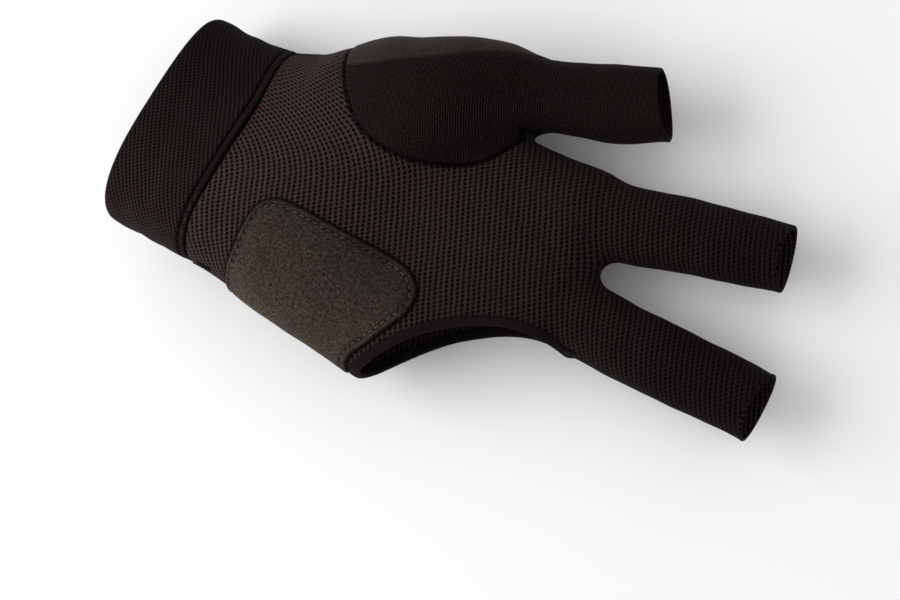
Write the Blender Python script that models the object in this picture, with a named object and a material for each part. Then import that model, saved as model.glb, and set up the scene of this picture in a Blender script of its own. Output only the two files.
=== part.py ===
"""Three-finger cue glove for the left hand, lying on its back with the palm up.

X runs from the wrist to the middle fingertip, Y towards the thumb and Z out of
the palm. The origin is the flat spot on the back panel that the glove rests on.
The whole skin is one hollow shell, made from four lofted limbs and then parted
along its seams, so every neighbouring panel shares one true edge.
Sizes are in millimetres, and MM turns them into metres when a mesh is made.
"""

import math

import bmesh
import bpy
from mathutils import Matrix, Vector
from mathutils.bvhtree import BVHTree

MM = 0.001

# ---- driving dimensions -----------------------------------------------------
WALL = 1.2  # thickness of the knit and of the turned seams
GAP = 0.3  # space left between neighbouring pieces
SIDES = 32  # points round a limb's section
ROUNDNESS = 2.35  # exponent of a section: 2 is an ellipse, more is squarer
HIGH = 60.0  # taller than anything on the glove

CUFF_OPEN_X = -78.0  # folded edge of the wrist cuff
CUFF_SEAM_X = -54.0  # seam between the cuff and the ribbed seam tape
TAPE_WIDTH = 2.0
CUFF_LAYER = 0.8  # one layer of the folded cuff
CUFF_POCKET = 1.2  # space between the two layers, where the elastic lies

SEAM_RISE = 15.5  # height of the side seam above the origin
SEAM_SLOPE = -0.05  # the side seam drops towards the fingertips

BINDING_WIDTH = 2.7  # tape folded over the edge of the ring and little finger opening
HEM_WIDTH = 1.5  # rolled edge at each open fingertip
PAD_THICKNESS = 1.2
PAD_STITCH_INSET = 1.8
THREAD_RADIUS = 0.35

THUMB_PLANE = 9.0  # each plane is measured along its own finger's centre line
INDEX_KNUCKLE = 6.0
INDEX_MIDDLE_JOINT = 25.7
MIDDLE_KNUCKLE = 6.5
MIDDLE_MIDDLE_JOINT = 29.0
HINGE_LIFT = 0.6  # a hinge line runs this far above the palm side of its finger


class Limb:
    """A run of sections along a straight centre line.

    A station holds its distance along the line, how far the section reaches to
    the right and to the left of it, its lowest and highest point, and the skew
    of the section (how far it runs ahead for each millimetre to the left).
    """

    def __init__(self, base, heading_deg, stations):
        heading = math.radians(heading_deg)
        self.base = Vector((base[0], base[1], 0.0))
        self.along = Vector((math.cos(heading), math.sin(heading), 0.0))
        self.left = Vector((-math.sin(heading), math.cos(heading), 0.0))
        self.stations = stations

    def point(self, distance, sideways, height):
        """A place given along, to the left of, and above the centre line."""
        place = self.base + self.along * distance + self.left * sideways
        return Vector((place.x, place.y, height))

    def ring(self, station, inset, shift):
        """The points of one section, all moved in by inset and ahead by shift."""
        distance, right, left, low, high, skew = station
        half_width = (right + left) / 2 - inset
        half_height = (high - low) / 2 - inset
        middle_side = (left - right) / 2
        middle_height = (high + low) / 2
        points = []
        for i in range(SIDES):
            angle = 2 * math.pi * (i + 0.5) / SIDES
            cosine, sine = math.cos(angle), math.sin(angle)
            power = 2 / ROUNDNESS
            side = middle_side + half_width * math.copysign(abs(cosine) ** power, cosine)
            height = middle_height + half_height * math.copysign(abs(sine) ** power, sine)
            ahead = distance + shift + skew * side
            points.append(self.point(ahead, side, max(height, inset)))
        return points

    def solid(self, name, inset=0.0, first_shift=0.0, last_shift=0.0):
        """A closed loft through every section, as an object."""
        mesh = bmesh.new()
        last = len(self.stations) - 1
        rings = []
        for i, station in enumerate(self.stations):
            shift = first_shift if i == 0 else last_shift if i == last else 0.0
            ring = [mesh.verts.new(p * MM) for p in self.ring(station, inset, shift)]
            rings.append([mesh.edges.new((ring[j - 1], ring[j])) for j in range(SIDES)])
            if i in (0, last):
                mesh.faces.new(ring)
        for before, after in zip(rings, rings[1:]):
            bmesh.ops.bridge_loops(mesh, edges=before + after)
        return object_of(name, mesh)


PALM = Limb((0, 0), 0, [
    (-53.85, 34.5, 29.5, -1.5, 37.5, 0),
    (-40, 35.5, 32, -1.5, 36, 0),
    (-28, 37.8, 34, -1.5, 35, 0),
    (-14, 40.3, 35, -1.5, 33, 0),
    (0, 41.7, 35.5, -1.5, 31, 0),
    (12, 42, 36, -1.2, 29.5, 0),
    (24, 41, 36.5, -0.6, 28, 0),
    (36, 39, 37, 0.6, 26, 0),
    (46, 36, 37.4, 2, 23.5, 0),
    (52, 30, 34, 3.5, 20.5, 0),
])
THUMB = Limb((16.2, 47.7), 21, [
    (-62, 20, 6, 2, 34, 0),
    (-50, 25, 11, 1.4, 38, 0),
    (-32, 27, 14.6, 1.6, 40, 0),
    (-18, 22, 15.6, 2.8, 38, 0),
    (-6, 14, 12.4, 4.6, 31.5, 0),
    (3, 10, 10, 6, 27, 0),
    (13, 10.2, 9.8, 7, 25.4, 0),
    (22, 11, 9.6, 7.5, 25, -0.1),
    (35, 9.6, 9.3, 8, 24.4, -0.19),
])
INDEX = Limb((57, 27.9), 13, [
    (-38, 9, 9, 5, 22, 0),
    (-14, 10.5, 11.2, 3.2, 23, 0),
    (0, 10.3, 10.4, 3.6, 22.2, 0),
    (14, 9.5, 10.4, 4.2, 21.6, 0),
    (28, 8.8, 9.4, 5, 21.2, 0),
    (40.8, 8.4, 8.3, 6, 21, 0),
])
MIDDLE = Limb((57, -0.3), 0, [
    (-36, 9, 9, 4.5, 22, 0),
    (0, 10.2, 10.2, 3.2, 22.2, 0),
    (14, 9.1, 9.2, 4, 21.6, 0),
    (26, 8.9, 9.3, 4.5, 21.2, 0),
    (38, 8.9, 9.3, 5, 21, 0),
    (50.6, 9.5, 9.2, 5.5, 21, 0),
])
CUFF = Limb((0, 0), 0, [
    (CUFF_OPEN_X, 33.5, 29, -1.5, 38, 0),
    (-66, 34, 28.6, -1.5, 37.8, 0),
    (CUFF_SEAM_X - GAP / 2, 34.5, 29.4, -1.5, 37.5, 0),
])

# The open side of the glove, where the ring and little fingers are bare.
OPENING_EDGE = [
    (4, -50), (7.9, -41.9), (12.1, -35.9), (16.8, -28.7), (22.8, -22.2), (29.1, -17.2),
    (36, -13.1), (42, -10.4), (48, -8.4), (54, -7.8), (58, -9.4), (59.5, -14),
]
# The turned seam that sets the smooth thumb panel into the mesh palm.
THUMB_SEAM = [
    (-46, 46), (-37.9, 37.7), (-32.1, 29.6), (-26.6, 23.5), (-20.8, 18.9), (-12.2, 15.7),
    (-4.3, 15.8), (3.6, 17.9), (10.9, 21.2), (14.8, 24.3), (17.6, 29), (20, 35), (26, 41),
]
# The inner edge of the suede strip down the outside of the thumb.
STRIP_EDGE = [(-36.74, 36.08), (-34.4, 36.2), (-19.5, 45), (-7, 51.4), (1, 53.4), (7, 56), (11, 62)]
# The suede heel pad, whose last two points lie past the side seam.
PAD_EDGE = [
    (-41.8, -48), (-40.4, -33), (-37.6, -25.6), (-36.6, -16.7), (-34.4, -12.2), (-29.7, -9),
    (-22.8, -8.3), (3, -8.4), (9.7, -9.9), (14.2, -13.3), (14.6, -17.7), (11.4, -23.4),
    (5.8, -30.7), (1.6, -38), (0, -48),
]


# ---- small tools ------------------------------------------------------------
def object_of(name, mesh):
    """Turns a bmesh into an object with its faces pointing out."""
    bmesh.ops.recalc_face_normals(mesh, faces=mesh.faces)
    data = bpy.data.meshes.new(name)
    mesh.to_mesh(data)
    mesh.free()
    made = bpy.data.objects.new(name, data)
    bpy.context.scene.collection.objects.link(made)
    return made


def discard(item):
    bpy.data.objects.remove(item, do_unlink=True)


def combine(item, other, operation):
    """Applies an exact Boolean of other to item, and discards other."""
    modifier = item.modifiers.new("combine", "BOOLEAN")
    modifier.operation = operation
    modifier.object = other
    modifier.solver = "EXACT"
    graph = bpy.context.evaluated_depsgraph_get()
    result = bpy.data.meshes.new_from_object(item.evaluated_get(graph))
    item.modifiers.clear()
    item.data = result
    discard(other)
    return item


def seam_height(x):
    """Height of the side seam, which falls gently towards the fingertips."""
    return SEAM_RISE + SEAM_SLOPE * x


def prism(name, outline, low, high):
    """An outline in plan extruded between two heights, each a function of x."""
    mesh = bmesh.new()
    floor = [mesh.verts.new(Vector((x, y, low(x))) * MM) for x, y in outline]
    face = mesh.faces.new(floor)
    grown = bmesh.ops.extrude_face_region(mesh, geom=[face])["geom"]
    for vert in grown:
        if isinstance(vert, bmesh.types.BMVert):
            vert.co.z = high(vert.co.x / MM) * MM
    return object_of(name, mesh)


def offset_line(points, distance):
    """A polyline moved to its left by distance, with mitred corners."""
    moved = []
    for i, point in enumerate(points):
        before = Vector(points[max(i - 1, 0)])
        after = Vector(points[min(i + 1, len(points) - 1)])
        here = Vector(point)
        turns = [d.normalized() for d in (here - before, after - here) if d.length > 0]
        normals = [Vector((-d.y, d.x)) for d in turns]
        mean = sum(normals, Vector((0, 0))).normalized()
        moved.append(tuple(here + mean * (distance / mean.dot(normals[0]))))
    return moved


def wall_cutter(line, low):
    """A thin standing wall along a line, from low up past the top of the glove."""
    side = offset_line(line, GAP / 2)
    other = offset_line(line, -GAP / 2)
    return prism("cutter", side + other[::-1], low, lambda x: HIGH)


def plate_cutter(limb, distance, reach_right, reach_left, turn_deg=0.0):
    """A thin plate across a limb, square to its line or turned about Z."""
    centre = limb.point(distance, 0, 0)
    turn = Matrix.Rotation(math.radians(turn_deg), 3, "Z")
    along, left = turn @ limb.along, turn @ limb.left
    corners = []
    for ahead, side in ((-1, -reach_right), (1, -reach_right), (1, reach_left), (-1, reach_left)):
        corner = centre + along * (ahead * GAP / 2) + left * side
        corners.append((corner.x, corner.y))
    return prism("cutter", corners, lambda x: -10.0, lambda x: HIGH)


def loose_parts(item):
    """Splits an object into its separate bodies, as lists of world points and faces."""
    source = bmesh.new()
    source.from_mesh(item.data)
    source.verts.index_update()
    unseen = set(source.verts)
    parts = []
    while unseen:
        stack = [unseen.pop()]
        body = set(stack)
        while stack:
            for edge in stack.pop().link_edges:
                for vert in edge.verts:
                    if vert in unseen:
                        unseen.discard(vert)
                        body.add(vert)
                        stack.append(vert)
        ordered = sorted(body, key=lambda v: v.index)
        place = {vert: i for i, vert in enumerate(ordered)}
        faces = [
            [place[v] for v in face.verts] for face in source.faces if face.verts[0] in body
        ]
        parts.append(([v.co.copy() for v in ordered], faces))
    source.free()
    return parts


def tree_of(item):
    return BVHTree.FromObject(item, bpy.context.evaluated_depsgraph_get())


def tube(name, points, radius, closed, resolution=1):
    """A round thread along points, as a curve with filled caps."""
    curve = bpy.data.curves.new(name, "CURVE")
    curve.dimensions = "3D"
    curve.bevel_depth = radius * MM
    curve.bevel_resolution = resolution
    curve.use_fill_caps = True
    spline = curve.splines.new("POLY")
    spline.points.add(len(points) - 1)
    spline.use_cyclic_u = closed
    for place, point in zip(spline.points, points):
        place.co = (*(point * MM), 1.0)
    made = bpy.data.objects.new(name, curve)
    bpy.context.scene.collection.objects.link(made)
    return made


def finish(item, name, colour, roughness, pivot=None):
    """Names a piece, gives it its own material, and puts its origin on its hinge."""
    item.name = name
    item.data.name = name
    material = bpy.data.materials.new(name)
    material.use_nodes = True
    shader = material.node_tree.nodes["Principled BSDF"]
    shader.inputs["Base Color"].default_value = (*colour, 1.0)
    shader.inputs["Roughness"].default_value = roughness
    shader.inputs["Metallic"].default_value = 0.0
    item.data.materials.clear()
    item.data.materials.append(material)
    if pivot is not None:
        item.data.transform(Matrix.Translation(-pivot * MM))
        item.location = pivot * MM
    if item.type == "MESH":
        item.data.shade_smooth()
        item.data.set_sharp_from_angle(angle=math.radians(35))
    return item


# ---- colours ----------------------------------------------------------------
KNIT = (0.022, 0.018, 0.017)
JERSEY = (0.014, 0.012, 0.012)
SUEDE = (0.042, 0.036, 0.030)
TAPE = (0.012, 0.011, 0.011)
THREAD = (0.050, 0.045, 0.040)
ELASTIC = (0.060, 0.058, 0.056)


# ---- the skin ---------------------------------------------------------------
def hand_volume(inset):
    """The union of the four limbs, moved in by inset and open at its free ends."""
    open_end = 6.0 if inset > 0 else 0.0
    volume = PALM.solid("volume", inset, -open_end, -inset)
    for limb in (THUMB, INDEX, MIDDLE):
        volume = combine(volume, limb.solid("limb", inset, inset, open_end), "UNION")
    return volume


def seam_sheet():
    """The thin level sheet that parts the palm side from the back of the hand.

    It stops in the middle of each finger's plane and at the binding, so the
    finger stalls and the binding stay whole.
    """
    outline = [(-52.0, -60)]
    outline += [(6.0, -60)] + offset_line(OPENING_EDGE, BINDING_WIDTH)
    ends = [
        MIDDLE.point(MIDDLE_KNUCKLE, -13, 0), MIDDLE.point(MIDDLE_KNUCKLE, 12, 0),
        INDEX.point(INDEX_KNUCKLE, -12, 0), INDEX.point(INDEX_KNUCKLE, 13, 0),
        THUMB.point(THUMB_PLANE, -11.3, 0), THUMB.point(THUMB_PLANE, 13, 0),
    ]
    outline += [(p.x, p.y) for p in ends] + [(-52.0, 62)]
    return prism(
        "cutter", outline,
        lambda x: seam_height(x) - GAP / 2, lambda x: seam_height(x) + GAP / 2,
    )


def parted_skin():
    """The hollow shell of the whole hand, cut along every seam."""
    skin = combine(hand_volume(0.0), hand_volume(WALL), "DIFFERENCE")
    bare_side = OPENING_EDGE + [(59.5, -60), (4, -60)]
    cutters = [
        prism("cutter", bare_side, lambda x: -10.0, lambda x: HIGH),
        plate_cutter(PALM, CUFF_SEAM_X + TAPE_WIDTH, 50, 60),
        plate_cutter(THUMB, THUMB_PLANE, 11.3, 13),
        plate_cutter(THUMB, 35 - HEM_WIDTH, 16, 16, 10.8),
        plate_cutter(INDEX, INDEX_KNUCKLE, 12, 13),
        plate_cutter(INDEX, INDEX_MIDDLE_JOINT, 12, 12),
        plate_cutter(INDEX, 40.8 - HEM_WIDTH, 12, 12),
        plate_cutter(MIDDLE, MIDDLE_KNUCKLE, 13, 12),
        plate_cutter(MIDDLE, MIDDLE_MIDDLE_JOINT, 12, 12),
        plate_cutter(MIDDLE, 50.6 - HEM_WIDTH, 13, 12),
        seam_sheet(),
        wall_cutter(offset_line(OPENING_EDGE, BINDING_WIDTH), lambda x: -10.0),
        wall_cutter(THUMB_SEAM, seam_height),
        wall_cutter(STRIP_EDGE, seam_height),
    ]
    for cutter in cutters:
        skin = combine(skin, cutter, "DIFFERENCE")
    return skin


def hinge(limb, distance):
    """A point on a finger's hinge line, just above the palm side of its section."""
    for before, after in zip(limb.stations, limb.stations[1:]):
        if before[0] <= distance <= after[0]:
            share = (distance - before[0]) / (after[0] - before[0])
            high = before[4] + share * (after[4] - before[4])
            return limb.point(distance, 0, high + HINGE_LIFT)
    raise ValueError("no section there")


def make_skin_pieces():
    """Names each body of the parted skin by a point that lies in its wall."""
    thumb_hinge = hinge(THUMB, THUMB_PLANE)
    index_knuckle = hinge(INDEX, INDEX_KNUCKLE)
    index_joint = hinge(INDEX, INDEX_MIDDLE_JOINT)
    middle_knuckle = hinge(MIDDLE, MIDDLE_KNUCKLE)
    middle_joint = hinge(MIDDLE, MIDDLE_MIDDLE_JOINT)
    pieces = [
        ("palm_mesh_panel", Vector((0, 0, 31)), KNIT, 0.8, None),
        ("back_panel", Vector((0, 0, 0)), KNIT, 0.8, None),
        ("thumb_panel", Vector((-10, 30, 39)), JERSEY, 0.75, None),
        ("thumb_suede_strip", Vector((-12, 52.6, 22)), SUEDE, 0.9, None),
        ("opening_binding", Vector((20, -23, 28)), TAPE, 0.7, None),
        ("cuff_seam_tape", Vector((-53, 0, 37.5)), TAPE, 0.7, None),
        ("thumb_stall", THUMB.point(20, 0, 25), JERSEY, 0.75, thumb_hinge),
        ("thumb_end_hem", THUMB.point(34.8, 0, 24.4), TAPE, 0.7, thumb_hinge),
        ("index_stall_base", INDEX.point(16, 0, 21.5), KNIT, 0.8, index_knuckle),
        ("index_stall_tip", INDEX.point(33, 0, 21), KNIT, 0.8, index_joint),
        ("index_end_hem", INDEX.point(40.4, 0, 21), TAPE, 0.7, index_joint),
        ("middle_stall_base", MIDDLE.point(18, 0, 21.4), KNIT, 0.8, middle_knuckle),
        ("middle_stall_tip", MIDDLE.point(40, 0, 21), KNIT, 0.8, middle_joint),
        ("middle_end_hem", MIDDLE.point(50.2, 0, 21), TAPE, 0.7, middle_joint),
    ]
    skin = parted_skin()
    bodies = loose_parts(skin)
    discard(skin)
    for name, probe, colour, roughness, pivot in pieces:
        points, faces = min(
            bodies, key=lambda body: min((p - probe * MM).length for p in body[0])
        )
        data = bpy.data.meshes.new(name)
        data.from_pydata(points, [], faces)
        made = bpy.data.objects.new(name, data)
        bpy.context.scene.collection.objects.link(made)
        finish(made, name, colour, roughness, pivot)
    if len(bodies) != len(pieces):
        raise ValueError(f"the skin came apart into {len(bodies)} bodies")


# ---- the cuff ---------------------------------------------------------------
def cuff_layer(name, outer_inset, inner_inset, start, end):
    """A hollow band of the cuff between two insets, cut square at start and end."""
    band = CUFF.solid(name, outer_inset, -5, 5)
    band = combine(band, CUFF.solid("core", inner_inset, -9, 9), "DIFFERENCE")
    block = [(start, -80), (end, -80), (end, 80), (start, 80)]
    return combine(band, prism("block", block, lambda x: -20.0, lambda x: HIGH), "INTERSECT")


def make_cuff():
    """A strip of fine mesh folded at the wrist, with an elastic band in the fold."""
    end = CUFF_SEAM_X - GAP / 2
    pocket_end = CUFF_LAYER + CUFF_POCKET
    hinge_line = Vector((CUFF_SEAM_X, -2.5, 37.5 + HINGE_LIFT))
    sleeve = cuff_layer("cuff_sleeve", 0.0, pocket_end + CUFF_LAYER, CUFF_OPEN_X, end)
    pocket = cuff_layer("pocket", CUFF_LAYER, pocket_end, CUFF_OPEN_X + CUFF_LAYER, end + 4)
    finish(combine(sleeve, pocket, "DIFFERENCE"), "cuff_sleeve", KNIT, 0.8, hinge_line)
    band = cuff_layer(
        "cuff_elastic", CUFF_LAYER + GAP, pocket_end - GAP,
        CUFF_OPEN_X + CUFF_LAYER + GAP, end - 2.0,
    )
    finish(band, "cuff_elastic", ELASTIC, 0.6, hinge_line)


def make_cuff_seam_threads():
    """One row of thread in each groove beside the seam tape."""
    rows = (("proximal", CUFF_SEAM_X - 0.05), ("distal", CUFF_SEAM_X + TAPE_WIDTH + 0.05))
    for label, x in rows:
        ring = Limb((0, 0), 0, [
            (x - THREAD_RADIUS, 34.6, 29.6, -1.5, 37.6, 0),
            (x + THREAD_RADIUS, 34.6, 29.6, -1.5, 37.6, 0),
        ])
        name = "cuff_seam_thread_" + label
        thread = ring.solid(name, -GAP - 0.6)
        thread = combine(thread, ring.solid("core", -GAP, -3, 3), "DIFFERENCE")
        floor = [(x - 5, -80), (x + 5, -80), (x + 5, 80), (x - 5, 80)]
        low = prism("low", floor, lambda x: GAP, lambda x: HIGH)
        finish(combine(thread, low, "INTERSECT"), name, THREAD, 0.6)


def make_cuff_bar_tack():
    """The dense tack that locks the end of the cuff seam on the little finger side."""
    bpy.ops.mesh.primitive_cube_add(size=1, location=Vector((-48.6, -36.2, 21.5)) * MM)
    tack = bpy.context.object
    tack.scale = Vector((4.2, 1.2, 3.6)) * MM
    bpy.ops.object.transform_apply(location=False, rotation=False, scale=True)
    bevel = tack.modifiers.new("bevel", "BEVEL")
    bevel.width = 0.4 * MM
    bevel.segments = 2
    finish(tack, "cuff_bar_tack", THREAD, 0.6)


# ---- what is sewn on top ----------------------------------------------------
def make_heel_pad():
    """A suede patch on the heel of the palm, with one row of stitches inside its edge."""
    pad = PALM.solid("heel_pad_suede", -(GAP + PAD_THICKNESS))
    pad = combine(pad, PALM.solid("core", -GAP, -3, 3), "DIFFERENCE")
    outline = prism("outline", PAD_EDGE, lambda x: seam_height(x) + 1.0, lambda x: HIGH)
    finish(combine(pad, outline, "INTERSECT"), "heel_pad_suede", SUEDE, 0.9)

    surface = tree_of(bpy.data.objects["heel_pad_suede"])
    inner = offset_line(PAD_EDGE[1:-1], -PAD_STITCH_INSET)
    lift = (THREAD_RADIUS + GAP) * 1.1
    points = []
    for before, after in zip(inner, inner[1:]):
        steps = max(1, round((Vector(after) - Vector(before)).length / 4.0))
        for i in range(steps):
            x, y = Vector(before).lerp(Vector(after), i / steps)
            hit = surface.ray_cast(Vector((x, y, HIGH)) * MM, Vector((0, 0, -1)))
            if hit[0] is not None and hit[1].z > 0.2:
                points.append(hit[0] / MM + hit[1] * lift)
    finish(
        tube("heel_pad_stitching", points, THREAD_RADIUS, False),
        "heel_pad_stitching", THREAD, 0.6,
    )


def side_route(first_x, last_x, steps, clearance):
    """Points down the little finger side, just outside the side seam."""
    panel = tree_of(bpy.data.objects["palm_mesh_panel"])
    points = []
    for i in range(steps + 1):
        x = first_x + (last_x - first_x) * i / steps
        height = seam_height(x) + 0.6
        hit = panel.ray_cast(Vector((x, -80, height)) * MM, Vector((0, 1, 0)))
        points.append(hit[0] / MM + hit[1] * clearance)
    return points


def make_side_seam():
    """The cord-like ridge of the turned side seam, beside the heel pad."""
    radius = 0.6
    route = [p - Vector((0, 0, 1.6)) for p in side_route(-44, 0, 12, radius + GAP + 0.25)]
    finish(tube("side_seam_ridge", route, radius, False), "side_seam_ridge", TAPE, 0.7)


def make_binding_thread():
    """The row of stitches along the inner edge of the binding, on the palm side."""
    panel = tree_of(bpy.data.objects["opening_binding"])
    line = offset_line(OPENING_EDGE[2:10], BINDING_WIDTH * 0.72)
    points = []
    for before, after in zip(line, line[1:]):
        for share in (0.0, 0.5):
            x, y = Vector(before).lerp(Vector(after), share)
            hit = panel.ray_cast(Vector((x, y, HIGH)) * MM, Vector((0, 0, -1)))
            if hit[0] is not None:
                points.append(hit[0] / MM + hit[1] * (THREAD_RADIUS + GAP + 0.1))
    finish(
        tube("opening_binding_thread", points, THREAD_RADIUS, False),
        "opening_binding_thread", THREAD, 0.6,
    )


def main():
    for item in list(bpy.data.objects):
        discard(item)
    make_skin_pieces()
    make_cuff()
    make_cuff_seam_threads()
    make_cuff_bar_tack()
    make_heel_pad()
    make_side_seam()
    make_binding_thread()


main()
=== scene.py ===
"""Looks of a three-finger cue glove for the left hand, lying on its back with the palm up.

The frame is the part's own: +X runs from the wrist to the middle fingertip, +Y towards
the thumb and +Z out of the palm. Shapes are worked out in millimetres and written to the
meshes in metres. The skin is the zero surface of one field, the smooth union of four limbs
whose sections are rounded rectangles, and every panel is cut from it along the seams.
"""

import logging
import math
from collections.abc import Callable, Sequence
from dataclasses import dataclass, field
from enum import Enum
from functools import partial

import bpy
import numpy as np
from mathutils import Matrix, Vector


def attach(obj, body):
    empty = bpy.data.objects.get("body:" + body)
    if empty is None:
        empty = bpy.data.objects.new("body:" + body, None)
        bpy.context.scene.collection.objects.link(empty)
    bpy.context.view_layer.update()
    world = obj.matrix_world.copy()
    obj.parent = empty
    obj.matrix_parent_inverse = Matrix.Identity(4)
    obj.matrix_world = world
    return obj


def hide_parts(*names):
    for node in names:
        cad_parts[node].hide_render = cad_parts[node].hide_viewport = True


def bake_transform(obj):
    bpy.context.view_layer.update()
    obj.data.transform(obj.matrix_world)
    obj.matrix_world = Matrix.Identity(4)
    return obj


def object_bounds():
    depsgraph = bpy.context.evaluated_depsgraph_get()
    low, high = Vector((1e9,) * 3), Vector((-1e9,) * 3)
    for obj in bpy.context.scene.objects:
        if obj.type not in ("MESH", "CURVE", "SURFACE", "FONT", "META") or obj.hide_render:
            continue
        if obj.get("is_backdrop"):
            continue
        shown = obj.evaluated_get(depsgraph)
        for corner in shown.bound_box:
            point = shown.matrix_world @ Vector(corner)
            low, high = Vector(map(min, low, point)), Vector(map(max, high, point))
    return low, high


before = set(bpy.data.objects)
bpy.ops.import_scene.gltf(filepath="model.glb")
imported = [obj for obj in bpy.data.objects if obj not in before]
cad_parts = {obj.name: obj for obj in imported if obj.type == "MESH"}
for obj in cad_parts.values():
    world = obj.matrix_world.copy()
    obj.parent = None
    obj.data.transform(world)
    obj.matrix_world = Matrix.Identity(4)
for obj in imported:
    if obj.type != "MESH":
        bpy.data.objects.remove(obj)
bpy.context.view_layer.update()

log = logging.getLogger("glove")

MM = 0.001
PATTERN_MAP = "pattern"
# Name of the point attribute that holds painted shade in the seam grooves.
SEAM_SHADE = "seam_shade"
GUSSETED = "palm_mesh"

Array = np.ndarray
Field = Callable[[Array], Array]
Outline = Sequence[tuple[float, float]]


class Body(Enum):
    """Names of the frame's moving bodies."""

    HAND = "hand"
    CUFF = "cuff"
    THUMB = "thumb"
    INDEX_BASE = "index_base"
    INDEX_TIP = "index_tip"
    MIDDLE_BASE = "middle_base"
    MIDDLE_TIP = "middle_tip"


class Side(Enum):
    """The two faces of the hand. The value is the sign of their height."""

    PALM = 1.0
    BACK = -1.0


# ---- curves and fields --------------------------------------------------------------
def smooth_curve(knots: Array, values: Array, at: Array) -> Array:
    """Cubic through every knot, with each knot's slope taken from its neighbours.

    Args:
        knots: Places of the knots, rising.
        values: One row of values for each knot.
        at: Places to read, which are held within the knots.

    Returns:
        One row of values for each place.
    """
    slopes = np.gradient(values, knots, axis=0)
    at = np.clip(at, knots[0], knots[-1])
    i = np.clip(np.searchsorted(knots, at) - 1, 0, len(knots) - 2)
    width = (knots[i + 1] - knots[i])[:, None]
    t = (at - knots[i])[:, None] / width
    rise, fall = t * t * (3 - 2 * t), t * (1 - t)
    ahead = values[i] * (1 - rise) + values[i + 1] * rise
    return ahead + width * fall * (slopes[i] * (1 - t) - slopes[i + 1] * t)


def smooth_min(a: Array, b: Array, radius: float) -> Array:
    """The smaller of a and b, with a rounded change-over of the given radius."""
    share = np.clip(0.5 + 0.5 * (b - a) / radius, 0, 1)
    return b + (a - b) * share - radius * share * (1 - share)


def smooth_step(value: Array, low: float, high: float) -> Array:
    """0 below low, 1 above high, and a smooth S between them."""
    t = np.clip((value - low) / (high - low), 0, 1)
    return t * t * (3 - 2 * t)


def ridge(distance: Array, width: float) -> Array:
    """A bell of height 1 across a line, from the distance to it."""
    return np.exp(-((distance / width) ** 2))


def unit(vectors: Array) -> Array:
    """Every row scaled to length 1."""
    return vectors / np.maximum(np.linalg.norm(vectors, axis=-1, keepdims=True), 1e-12)


def gradient(of: Field, points: Array, step: float = 0.05) -> Array:
    """Slope of a field at each point, by central differences along the three axes."""
    shifts = np.eye(3) * step
    return np.stack([of(points + s) - of(points - s) for s in shifts], axis=1) / (2 * step)


def project(points: Array, of: Field, rounds: int = 3) -> Array:
    """Moves points onto a field's zero surface by Newton steps of at most 1 mm."""
    for _ in range(rounds):
        slope = gradient(of, points)
        size = np.maximum((slope**2).sum(axis=1), 1e-3)
        step = np.clip(of(points) / np.sqrt(size), -1, 1) / np.sqrt(size)
        points = points - slope * step[:, None]
    return points


def rounded_outline(outline: Outline, per_side: int = 6) -> Array:
    """Closed Catmull-Rom curve through an outline's points, as a dense polygon."""
    p = np.array(outline, float)
    before, after, far = np.roll(p, 1, 0), np.roll(p, -1, 0), np.roll(p, -2, 0)
    t = (np.arange(per_side) / per_side)[None, :, None]
    a, b, c, d = (q[:, None, :] for q in (before, p, after, far))
    curve = b + 0.5 * t * (c - a + t * (2 * a - 5 * b + 4 * c - d + t * (3 * (b - c) + d - a)))
    return curve.reshape(-1, 2)


def plan_distance(outline: Array, points: Array) -> Array:
    """Signed distance in plan to a closed polygon, positive inside it.

    The size is the least distance to any side, and the sign comes from counting how many
    sides a line towards +X crosses.

    Args:
        outline: Corners of the polygon, one row each.
        points: Points in space, of which only X and Y are read.

    Returns:
        One distance for each point.
    """
    best = np.full(len(points), 1e9)
    inside = np.zeros(len(points), bool)
    x, y = points[:, 0], points[:, 1]
    for (ax, ay), (bx, by) in zip(outline, np.roll(outline, -1, axis=0)):
        dx, dy = bx - ax, by - ay
        t = np.clip(((x - ax) * dx + (y - ay) * dy) / (dx * dx + dy * dy), 0, 1)
        best = np.minimum(best, (x - ax - t * dx) ** 2 + (y - ay - t * dy) ** 2)
        if dy != 0:
            inside ^= ((ay > y) != (by > y)) & (x < ax + (y - ay) * dx / dy)
    return np.sqrt(best) * np.where(inside, 1, -1)


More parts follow.
